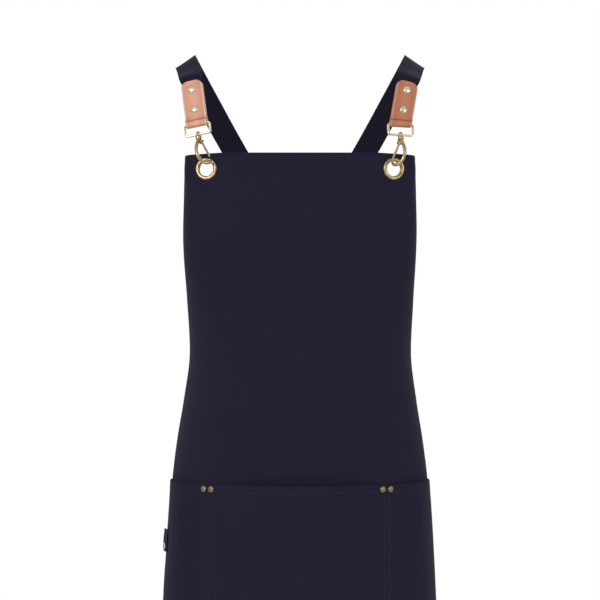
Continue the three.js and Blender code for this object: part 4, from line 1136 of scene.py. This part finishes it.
def tab_width_at(height):
    """The tab's width at a height, rounded at its top."""
    below = size("tab_length") - height
    corner = 0.31 * size("tab_width")
    if below >= corner:
        return size("tab_width")
    share = math.sqrt(max(0.0, 1 - ((corner - below) / corner) ** 2))
    return size("tab_width") * (0.42 + 0.58 * share)


def make_strap_tabs():
    """Leather tabs folded round the hooks' frames and riveted through the strap."""
    for side, facts in SIDES.items():
        at = Vector(facts["frame"])
        out, up, across = front_axes(facts["sign"], facts["tab"])
        points, ways = spline([(h, d, 0) for h, d in tab_outline()], 150)
        skew = math.tan(math.radians(facts["tab"] - facts["lean"]))
        stations = []
        for p, w in zip(points, ways):
            fade = min(max(1 - p.x / (0.5 * size("tab_length")), 0), 1)
            slope = across - up * (skew * fade)
            stations.append((at + up * p.x + out * p.y, slope, -out * w.x + up * w.y))
        heights = [p.x for p in points]

        def crease(walk, place, half):
            rim = -0.22 * math.exp(-(((half - abs(place) - 1.9) / 0.45) ** 2))
            fold = -0.35 * math.exp(-(((walk - (size("tab_length") - TAB_CREASE)) / 0.9) ** 2))
            return rim + fold

        def width(i, heights=heights):
            return tab_width_at(heights[i])

        piece = strip(f"strap_tab_{side}", stations, width, TAB_THICKNESS, 0.9, 41, crease)
        # The left tab takes the lightened copy of the tan leather, painted light for its lit side.
        kind = "pale_leather" if side == "left" else "tan_leather"
        deliver(piece, kind, "apron", f"strap_tab_{side}")
        leaf = size("strap_thickness") / 2 + GAP + TAB_THICKNESS / 2
        reach = leaf + TAB_THICKNESS / 2
        for n, place in enumerate(("upper", "lower")):
            height = size("tab_length") - TAB_RIVET_FROM_TOP - n * TAB_RIVET_SPACING
            axes = facing(at + up * height, out, up)
            # The tab rivets take the brass lightened as a painted highlight.
            rivet(f"tab_rivet_{side}_{place}", axes, TAB_RIVET_DIAMETER, reach, -reach, "pale_brass")


def hook_frame(side):
    """The hook's own directions and a function from its plane to the apron's frame."""
    facts = SIDES[side]
    out, up, across = front_axes(facts["sign"], facts["lean"])
    low = Vector(facts["frame"]) - up * (FRAME_HEIGHT - FRAME_BAND)
    turn = math.radians(facts["turn"])
    spine = -across * math.cos(turn) + out * math.sin(turn)
    aside = spine.cross(up).normalized()
    neck_top = -1.4 - GAP
    foot = low + up * (neck_top - NECK_LENGTH)

    def place(point, off=0.0):
        return foot + spine * point[0] + up * point[1] + aside * off

    return {"out": out, "up": up, "across": across, "low": low, "spine": spine, "aside": aside,
            "neck_top": neck_top, "place": place}


def make_hook_frames():
    """The bent band that hangs from each leather tab, with the boss that its hook turns in."""
    drop = FRAME_HEIGHT - FRAME_BAND
    for side, facts in SIDES.items():
        hook = hook_frame(side)
        centre = Vector(facts["frame"]) - hook["up"] * (drop / 2)
        place = matrix_of(centre, hook["across"], hook["up"], hook["out"])
        sizes = (FRAME_WIDTH, FRAME_HEIGHT, FRAME_BAND, FRAME_DEPTH, 3.2)
        piece = loop_plate(f"snap_frame_{side}", *sizes, place, 0.55)
        spin = facing(hook["low"], hook["up"], hook["across"])
        boss = [(0, -1.5), (3.3, -1.5), (3.9, -0.9), (3.9, 0.8), (3.3, 1.4), (0, 1.4)]
        piece = weld(piece, turned("boss", boss, spin, 40, 0))
        name = f"snap_frame_{side}"
        # The frame takes the brass lightened as a painted highlight.
        deliver(piece, "pale_brass", f"frame_{side}", name)


def make_hooks():
    """The swivelling hooks: head, neck, spine and bow, with the ear for the gate's pin."""
    for side in SIDES:
        hook = hook_frame(side)
        spin = facing(hook["low"], hook["up"], hook["across"])
        top, foot = hook["neck_top"], hook["neck_top"] - NECK_LENGTH
        stem = [
            (0, foot - 0.4),
            (NECK_DIAMETER / 2 - 1.4, foot - 0.4),
            (NECK_DIAMETER / 2 - 0.4, foot + 0.4),
            (NECK_DIAMETER / 2, foot + 1.4),
            (NECK_DIAMETER / 2, top - 0.9),
            (NECK_DIAMETER / 2 - 0.7, top - 0.1),
            (STEM_DIAMETER / 2, top),
            (STEM_DIAMETER / 2, 1.3 + GAP),
            (2.5, 1.3 + GAP),
            (2.6, 1.9 + GAP),
            (2.35, 2.8 + GAP),
            (1.5, 3.5 + GAP),
            (0, 3.8 + GAP),
        ]
        piece = turned(f"snap_hook_{side}", stem, spin, 40, 0)
        half = HOOK_WIRE / 2
        radii = [half, half, half, half, half, half, half, 0.92 * half, 0.6 * half]
        spine = wire("spine", [hook["place"](p) for p in HOOK_LINE], radii, 72, 20)
        ear_axes = facing(hook["place"](GATE_PIVOT), hook["aside"], hook["spine"])
        low, high = 0.2, 0.2 + LUG_THICKNESS
        ear = turned("ear", [(0, low), (2.3, low), (2.3, high), (0, high)], ear_axes, 32, 0.15)
        web_at = hook["place"]((GATE_PIVOT[0] + 1.6, GATE_PIVOT[1] + 1.6))
        web_axes = matrix_of(web_at, hook["spine"], hook["up"], -hook["aside"])
        web = block("web", 4.4, 5.2, -high + 0.1, -low - 0.1, 0, 0, web_axes, 0.4)
        piece = weld(piece, spine, ear, web)
        deliver(piece, "antique_brass", f"hook_{side}", f"snap_hook_{side}")


def make_gates():
    """The sprung gates with their pins and springs."""
    pitch = SPRING_WIRE + 0.1
    room = SPRING_TURNS * pitch + SPRING_WIRE
    for side in SIDES:
        hook = hook_frame(side)
        place = hook["place"]
        axes = facing(place(GATE_PIVOT), hook["aside"], hook["spine"])
        low = 0.2
        eye_top, eye_foot = low - GAP, low - GAP - EYE_THICKNESS
        eye = [(0, eye_foot), (2.2, eye_foot), (2.2, eye_top), (0, eye_top)]
        piece = turned(f"snap_gate_{side}", eye, axes, 32, 0.2)
        off = -(GATE_WIRE / 2 + GAP / 2)
        start = place((GATE_PIVOT[0] - 0.8, GATE_PIVOT[1] - 1.2), 0.8 * off)
        line = [start, place(GATE_MIDDLE, 0.5 * off), place(GATE_END)]
        half = GATE_WIRE / 2
        rod = wire("rod", line, [half, half, half, 1.05 * half, 1.05 * half, 0.6 * half], 32, 18)
        piece = weld(piece, rod)
        deliver(piece, "antique_brass", f"gate_{side}", f"snap_gate_{side}")
        foot = eye_foot - GAP - room - GAP
        top = low + LUG_THICKNESS + GAP
        core = GATE_PIN_DIAMETER / 2
        pin = [
            (0, foot - 0.5),
            (1.3, foot - 0.5),
            (1.5, foot - 0.2),
            (1.5, foot),
            (core, foot),
            (core, top),
            (1.5, top),
            (1.5, top + 0.2),
            (1.2, top + 0.5),
            (0, top + 0.5),
        ]
        name = f"gate_pin_{side}"
        deliver(turned(name, pin, axes, 28, 0), "antique_brass", f"hook_{side}", name)
        coil = core + GAP + SPRING_WIRE / 2
        turns = np.linspace(0, SPRING_TURNS, 16 * SPRING_TURNS + 1)
        points = []
        for turn in turns:
            way = 2 * math.pi * turn
            height = foot + GAP + SPRING_WIRE / 2 + turn * pitch
            points.append(axes @ Vector((coil * math.cos(way), coil * math.sin(way), height)) / MM)
        name = f"gate_spring_{side}"
        spring = wire(name, points, [SPRING_WIRE / 2, SPRING_WIRE / 2], 96, 10)
        deliver(spring, "spring_steel", f"hook_{side}", name)


# ---- Waist rings, tabs, sliders and straps ----
def turn_radius():
    return RING_WIRE / 2 + GAP + RING_SWAY + size("strap_thickness") / 2


def back_run(end_sign):
    """The straight stretch behind the back, from the crossing to the ring at one waist corner."""
    from_edge = size("skirt_width") / 2 - RING_TAB_FROM_EDGE
    corner, normal = spot(end_sign * from_edge, size("waist_drop") + RING_TAB_BELOW_CORNER)
    cross = Vector((0, CROSS_Y - end_sign * CROSS_OFFSET, CROSS_Z))
    down = (corner - cross).normalized()
    out = (normal - down * normal.dot(down)).normalized()
    across = out.cross(down) * -end_sign
    low = corner - down * RING_TAB_REACH
    ring = low - down * (RING_HEIGHT - RING_WIRE)
    slider = ring - down * SLIDER_ABOVE_RING + out * turn_radius()
    return {"cross": cross, "corner": corner, "down": down, "out": out, "across": across, "low": low,
            "ring": ring, "slider": slider}


def make_waist_rings():
    """Rectangular rings of round wire at the waist corners."""
    for side, facts in SIDES.items():
        run = back_run(facts["sign"])
        middle = run["low"] - run["down"] * ((RING_HEIGHT - RING_WIRE) / 2)
        axes = facing(middle, run["out"], run["across"])
        sizes = (RING_WIDTH, RING_HEIGHT, RING_WIRE, RING_WIRE, 3.6)
        piece = loop_plate(f"waist_ring_{side}", *sizes, axes, 1.2)
        deliver(piece, "antique_brass", f"ring_{side}", f"waist_ring_{side}")


def make_ring_tabs():
    """Leather strips folded round the rings and riveted through the panel's corners."""
    leaf = CLOTH_THICKNESS / 2 + RING_TAB_EASE + RING_TAB_THICKNESS / 2
    fold = RING_WIRE / 2 + GAP + RING_SWAY + RING_TAB_THICKNESS / 2
    line = [
        (RING_TAB_END, leaf),
        (0, leaf),
        (-RING_TAB_REACH + 7, leaf),
        (-RING_TAB_REACH + 1, fold),
        (-RING_TAB_REACH - 0.7 * fold, 0.7 * fold),
        (-RING_TAB_REACH - fold, 0),
    ]
    both = line + [(height, -depth) for height, depth in reversed(line[:-1])]
    for side, facts in SIDES.items():
        run = back_run(facts["sign"])
        points, ways = spline([(h, d, 0) for h, d in both], 110)
        stations = []
        for p, w in zip(points, ways):
            normal = -run["out"] * w.x + run["down"] * w.y
            stations.append((run["corner"] + run["down"] * p.x + run["out"] * p.y, run["across"], normal))

        def crease(walk, place, half):
            return -0.2 * math.exp(-(((half - abs(place) - 1.9) / 0.45) ** 2))

        name = f"ring_tab_{side}"
        piece = strip(name, stations, lambda i: RING_TAB_WIDTH, RING_TAB_THICKNESS, 0.8, 41, crease)
        deliver(piece, "tan_leather", "apron", name)
        reach = leaf + RING_TAB_THICKNESS / 2
        axes = facing(run["corner"], run["out"], run["down"])
        rivet(f"ring_tab_rivet_{side}", axes, TAB_RIVET_DIAMETER, reach, -reach, "antique_brass")


def make_sliders():
    """Strap sliders: a frame over the strap, side rails and a middle bar under it."""
    level = size("strap_thickness") / 2 + GAP
    high = level + SLIDER_THICKNESS
    for side, facts in SIDES.items():
        run = back_run(facts["sign"])
        axes = facing(run["slider"], run["out"], run["across"])
        above = facing(run["slider"] + run["out"] * (level + high) / 2, run["out"], run["across"])
        sizes = (SLIDER_WIDTH, SLIDER_HEIGHT, SLIDER_BAR, SLIDER_THICKNESS, 3)
        piece = loop_plate(f"slider_{side}", *sizes, above, 0.45)
        rail = (SLIDER_WIDTH - SLIDER_BAR) / 2
        width = SLIDER_BAR - 0.4
        parts = []
        for n in (-1, 1):
            box = (width, 0.5 * SLIDER_HEIGHT, -high - 0.1, level + 0.5, n * rail, 0)
            parts.append(block("rail", *box, axes, 0.4))
        parts.append(block("bar", SLIDER_WIDTH - SLIDER_BAR, SLIDER_BAR, -high, -level, 0, 0, axes, 0.5))
        deliver(weld(piece, *parts), "antique_brass", f"adjuster_{side}", f"slider_{side}")


def strap_stations(side):
    """The strap from inside its tab, over the shoulder, across the back and round the ring."""
    facts = SIDES[side]
    sign = facts["sign"]
    at = Vector(facts["frame"])
    up, across = front_axes(sign, facts["tab"])[1:]
    run = back_run(-sign)
    knots = [(at + up * share * size("tab_length"), across) for share in (0.28, 0.6, 0.92, 1.03, 1.12)]
    mirror = Vector((-sign, 1, 1))
    for place, wide in STRAP_ROUTE:
        knots.append((Vector(place) * mirror, Vector(wide) * mirror))
    ring_top = run["ring"] + run["out"] * turn_radius()
    cross_across = (run["down"].cross(Vector((0, 1, 0))) * -sign).normalized()
    cross = run["cross"] + run["out"] * turn_radius()
    knots.append((cross, cross_across))
    points, ways = spline([k[0] for k in knots], 150)
    wides, _ = spline([k[1] for k in knots], 150)
    stations = []
    for p, w, wide in zip(points, ways, wides):
        wide = (wide - w * wide.dot(w)).normalized()
        stations.append((p, wide, wide.cross(w) * -sign))
    straight = (ring_top - cross).length
    for distance in np.linspace(12, straight, 18):
        stations.append((cross + run["down"] * float(distance), run["across"], run["out"]))
    for turn in range(12, 181, 12):
        radial = run["out"] * math.cos(math.radians(turn)) + run["down"] * math.sin(math.radians(turn))
        stations.append((run["ring"] + radial * turn_radius(), run["across"], radial))
    tail = SLIDER_ABOVE_RING - SLIDER_HEIGHT / 2 - 6
    for distance in np.linspace(4, tail, 8):
        spot_at = run["ring"] - run["out"] * turn_radius() - run["down"] * float(distance)
        stations.append((spot_at, run["across"], -run["out"]))
    return stations


def make_straps():
    """Doubled twill straps with a row of stitches along each edge."""
    width, thickness = size("strap_width"), size("strap_thickness")
    for side in SIDES:
        stations = strap_stations(side)

        def seam(walk, place, half):
            return float(groove(half - abs(place) - 3.0)) * 0.8

        def wide(i, width=width):
            return width - STRAP_TAPER * (1 - float(smoothstep(i, 20, 42)))

        piece = strip(f"strap_{side}", stations, wide, thickness, 0.7, 33, seam)
        deliver(piece, "strap_twill", "apron", f"strap_{side}")
        runs = []
        for sign in (-1, 1):
            line = []
            for i, (at, across, out) in enumerate(stations):
                line.append(at + across * (sign * (wide(i) / 2 - 3.0)) + out * (thickness / 2 + 0.05))
            start = 34
            runs.append(([tuple(p) for p in line[start:]], [tuple(s[2]) for s in stations[start:]]))
        deliver(sewn(f"strap_stitching_{side}", runs), "thread", "apron")


# ---- Stage ----
def make_stage():
    """A pale floor, soft light and the camera."""
    scene = bpy.context.scene
    deselect()
    floor_z = CAD_BOX[0][2] - 0.06
    bpy.ops.mesh.primitive_circle_add(vertices=96, radius=2.4, fill_type="NGON", location=(0, 0, floor_z))
    floor = bpy.context.object
    floor.name = "floor"
    floor.data.materials.append(new_material("floor_paint", (0.86, 0.86, 0.86), 0.9)[0])

    world = bpy.data.worlds.new("studio")
    scene.world = world
    world.use_nodes = True
    tree = world.node_tree
    seen = tree.nodes["Background"]
    seen.inputs["Color"].default_value = (1, 1, 1, 1)
    ramp = tree.nodes.new("ShaderNodeValToRGB")
    ramp.color_ramp.elements[0].position = 0.22
    ramp.color_ramp.elements[0].color = (0.60, 0.60, 0.60, 1)
    ramp.color_ramp.elements[1].position = 0.72
    ramp.color_ramp.elements[1].color = (0.75, 0.75, 0.75, 1)
    waist = ramp.color_ramp.elements.new(0.47)
    waist.color = (0.45, 0.45, 0.45, 1)
    above = ramp.color_ramp.elements.new(0.53)
    above.color = (1.0, 1.0, 1.0, 1)
    place = tree.nodes.new("ShaderNodeTexCoord")
    split = tree.nodes.new("ShaderNodeSeparateXYZ")
    height = tree.nodes.new("ShaderNodeMapRange")
    height.inputs["From Min"].default_value = -1.0
    room = tree.nodes.new("ShaderNodeBackground")
    rays = tree.nodes.new("ShaderNodeLightPath")
    choose = tree.nodes.new("ShaderNodeMixShader")
    tree.links.new(place.outputs["Generated"], split.inputs["Vector"])
    tree.links.new(split.outputs["Z"], height.inputs["Value"])
    tree.links.new(height.outputs[0], ramp.inputs[0])
    tree.links.new(ramp.outputs[0], room.inputs["Color"])
    tree.links.new(rays.outputs["Is Camera Ray"], choose.inputs[0])
    tree.links.new(room.outputs[0], choose.inputs[1])
    tree.links.new(seen.outputs[0], choose.inputs[2])
    tree.links.new(choose.outputs[0], tree.nodes["World Output"].inputs["Surface"])

    lamps = (
        ("key_light", (-1.6, -2.4, 0.3), 26, 0.9),
        ("fill_light", (1.9, -1.8, 0.1), 10, 0.8),
        ("rim_light", (0.8, 2.2, 1.0), 12, 1.2),
    )
    for name, place, power, width in lamps:
        data = bpy.data.lights.new(name, "AREA")
        data.energy = power
        data.size = width
        lamp = bpy.data.objects.new(name, data)
        lamp.location = place
        lamp.rotation_euler = (Vector((0, 0, -0.4)) - Vector(place)).to_track_quat("-Z", "Y").to_euler()
        scene.collection.objects.link(lamp)

    data = bpy.data.cameras.new("camera")
    data.lens = 144
    data.sensor_width = 36
    camera = bpy.data.objects.new("camera", data)
    camera.location = (0, -3.115, -0.316)
    camera.rotation_euler = (math.pi / 2, 0, 0)
    scene.collection.objects.link(camera)
    scene.camera = camera
    scene.view_settings.view_transform = "Standard"


class APRON_OT_make_panel(bpy.types.Operator):
    """Adds the canvas panel"""

    bl_idname = "apron.make_panel"
    bl_label = "Canvas panel"

    def execute(self, context):
        make_panel()
        return {"FINISHED"}


class APRON_OT_make_facing(bpy.types.Operator):
    """Adds the facing behind the bib"""

    bl_idname = "apron.make_facing"
    bl_label = "Bib facing"

    def execute(self, context):
        make_facing()
        return {"FINISHED"}


class APRON_OT_make_pocket(bpy.types.Operator):
    """Adds the pocket panel"""

    bl_idname = "apron.make_pocket"
    bl_label = "Pocket"

    def execute(self, context):
        make_pocket()
        return {"FINISHED"}


class APRON_OT_make_stitching(bpy.types.Operator):
    """Adds the hem and pocket stitches"""

    bl_idname = "apron.make_stitching"
    bl_label = "Stitching"

    def execute(self, context):
        make_stitching()
        return {"FINISHED"}


class APRON_OT_make_eyelets(bpy.types.Operator):
    """Adds the eyelets and washers"""

    bl_idname = "apron.make_eyelets"
    bl_label = "Eyelets"

    def execute(self, context):
        make_eyelets()
        return {"FINISHED"}


class APRON_OT_make_pocket_rivets(bpy.types.Operator):
    """Adds the pocket's rivets"""

    bl_idname = "apron.make_pocket_rivets"
    bl_label = "Pocket rivets"

    def execute(self, context):
        make_pocket_rivets()
        return {"FINISHED"}


class APRON_OT_make_towel_loop(bpy.types.Operator):
    """Adds the towel loop and its rivet"""

    bl_idname = "apron.make_towel_loop"
    bl_label = "Towel loop"

    def execute(self, context):
        make_towel_loop()
        return {"FINISHED"}


class APRON_OT_make_strap_tabs(bpy.types.Operator):
    """Adds the leather tabs and their rivets"""

    bl_idname = "apron.make_strap_tabs"
    bl_label = "Strap tabs"

    def execute(self, context):
        make_strap_tabs()
        return {"FINISHED"}


class APRON_OT_make_hook_frames(bpy.types.Operator):
    """Adds the snap hooks' frames"""

    bl_idname = "apron.make_hook_frames"
    bl_label = "Hook frames"

    def execute(self, context):
        make_hook_frames()
        return {"FINISHED"}


class APRON_OT_make_hooks(bpy.types.Operator):
    """Adds the swivelling hooks"""

    bl_idname = "apron.make_hooks"
    bl_label = "Hooks"

    def execute(self, context):
        make_hooks()
        return {"FINISHED"}


class APRON_OT_make_gates(bpy.types.Operator):
    """Adds the gates, pins and springs"""

    bl_idname = "apron.make_gates"
    bl_label = "Gates"

    def execute(self, context):
        make_gates()
        return {"FINISHED"}


class APRON_OT_make_waist_rings(bpy.types.Operator):
    """Adds the waist rings"""

    bl_idname = "apron.make_waist_rings"
    bl_label = "Waist rings"

    def execute(self, context):
        make_waist_rings()
        return {"FINISHED"}


class APRON_OT_make_ring_tabs(bpy.types.Operator):
    """Adds the waist rings' leather tabs"""

    bl_idname = "apron.make_ring_tabs"
    bl_label = "Ring tabs"

    def execute(self, context):
        make_ring_tabs()
        return {"FINISHED"}


class APRON_OT_make_sliders(bpy.types.Operator):
    """Adds the strap sliders"""

    bl_idname = "apron.make_sliders"
    bl_label = "Sliders"

    def execute(self, context):
        make_sliders()
        return {"FINISHED"}


class APRON_OT_make_straps(bpy.types.Operator):
    """Adds the shoulder straps"""

    bl_idname = "apron.make_straps"
    bl_label = "Straps"

    def execute(self, context):
        make_straps()
        return {"FINISHED"}


class APRON_OT_make_stage(bpy.types.Operator):
    """Adds the floor, lights and camera"""

    bl_idname = "apron.make_stage"
    bl_label = "Stage"

    def execute(self, context):
        make_stage()
        return {"FINISHED"}


OPERATORS = (
    APRON_OT_make_panel,
    APRON_OT_make_facing,
    APRON_OT_make_pocket,
    APRON_OT_make_stitching,
    APRON_OT_make_eyelets,
    APRON_OT_make_pocket_rivets,
    APRON_OT_make_towel_loop,
    APRON_OT_make_strap_tabs,
    APRON_OT_make_hook_frames,
    APRON_OT_make_hooks,
    APRON_OT_make_gates,
    APRON_OT_make_waist_rings,
    APRON_OT_make_ring_tabs,
    APRON_OT_make_sliders,
    APRON_OT_make_straps,
    APRON_OT_make_stage,
)


class APRON_PT_panel(bpy.types.Panel):
    """The apron's pieces, sizes and colours in the sidebar."""

    bl_idname = "APRON_PT_panel"
    bl_label = "Apron"
    bl_space_type = "VIEW_3D"
    bl_region_type = "UI"
    bl_category = "Apron"

    def draw(self, context):
        for operator in OPERATORS:
            self.layout.operator(operator.bl_idname)
        for group in (context.scene.apron_sizes, context.scene.apron_colours):
            for name in group.__annotations__:
                self.layout.prop(group, name)


CLASSES = (ApronSizes, ApronColours, *OPERATORS, APRON_PT_panel)


def register():
    for item in CLASSES:
        bpy.utils.register_class(item)
    bpy.types.Scene.apron_sizes = PointerProperty(type=ApronSizes)
    bpy.types.Scene.apron_colours = PointerProperty(type=ApronColours)


def unregister():
    del bpy.types.Scene.apron_colours
    del bpy.types.Scene.apron_sizes
    for item in reversed(CLASSES):
        bpy.utils.unregister_class(item)


def main():
    register()
    bpy.ops.apron.make_panel()
    bpy.ops.apron.make_facing()
    bpy.ops.apron.make_pocket()
    bpy.ops.apron.make_stitching()
    bpy.ops.apron.make_eyelets()
    bpy.ops.apron.make_pocket_rivets()
    bpy.ops.apron.make_towel_loop()
    bpy.ops.apron.make_strap_tabs()
    bpy.ops.apron.make_hook_frames()
    bpy.ops.apron.make_hooks()
    bpy.ops.apron.make_gates()
    bpy.ops.apron.make_waist_rings()
    bpy.ops.apron.make_ring_tabs()
    bpy.ops.apron.make_sliders()
    bpy.ops.apron.make_straps()
    bpy.ops.apron.make_stage()


if __name__ == "__main__":
    main()
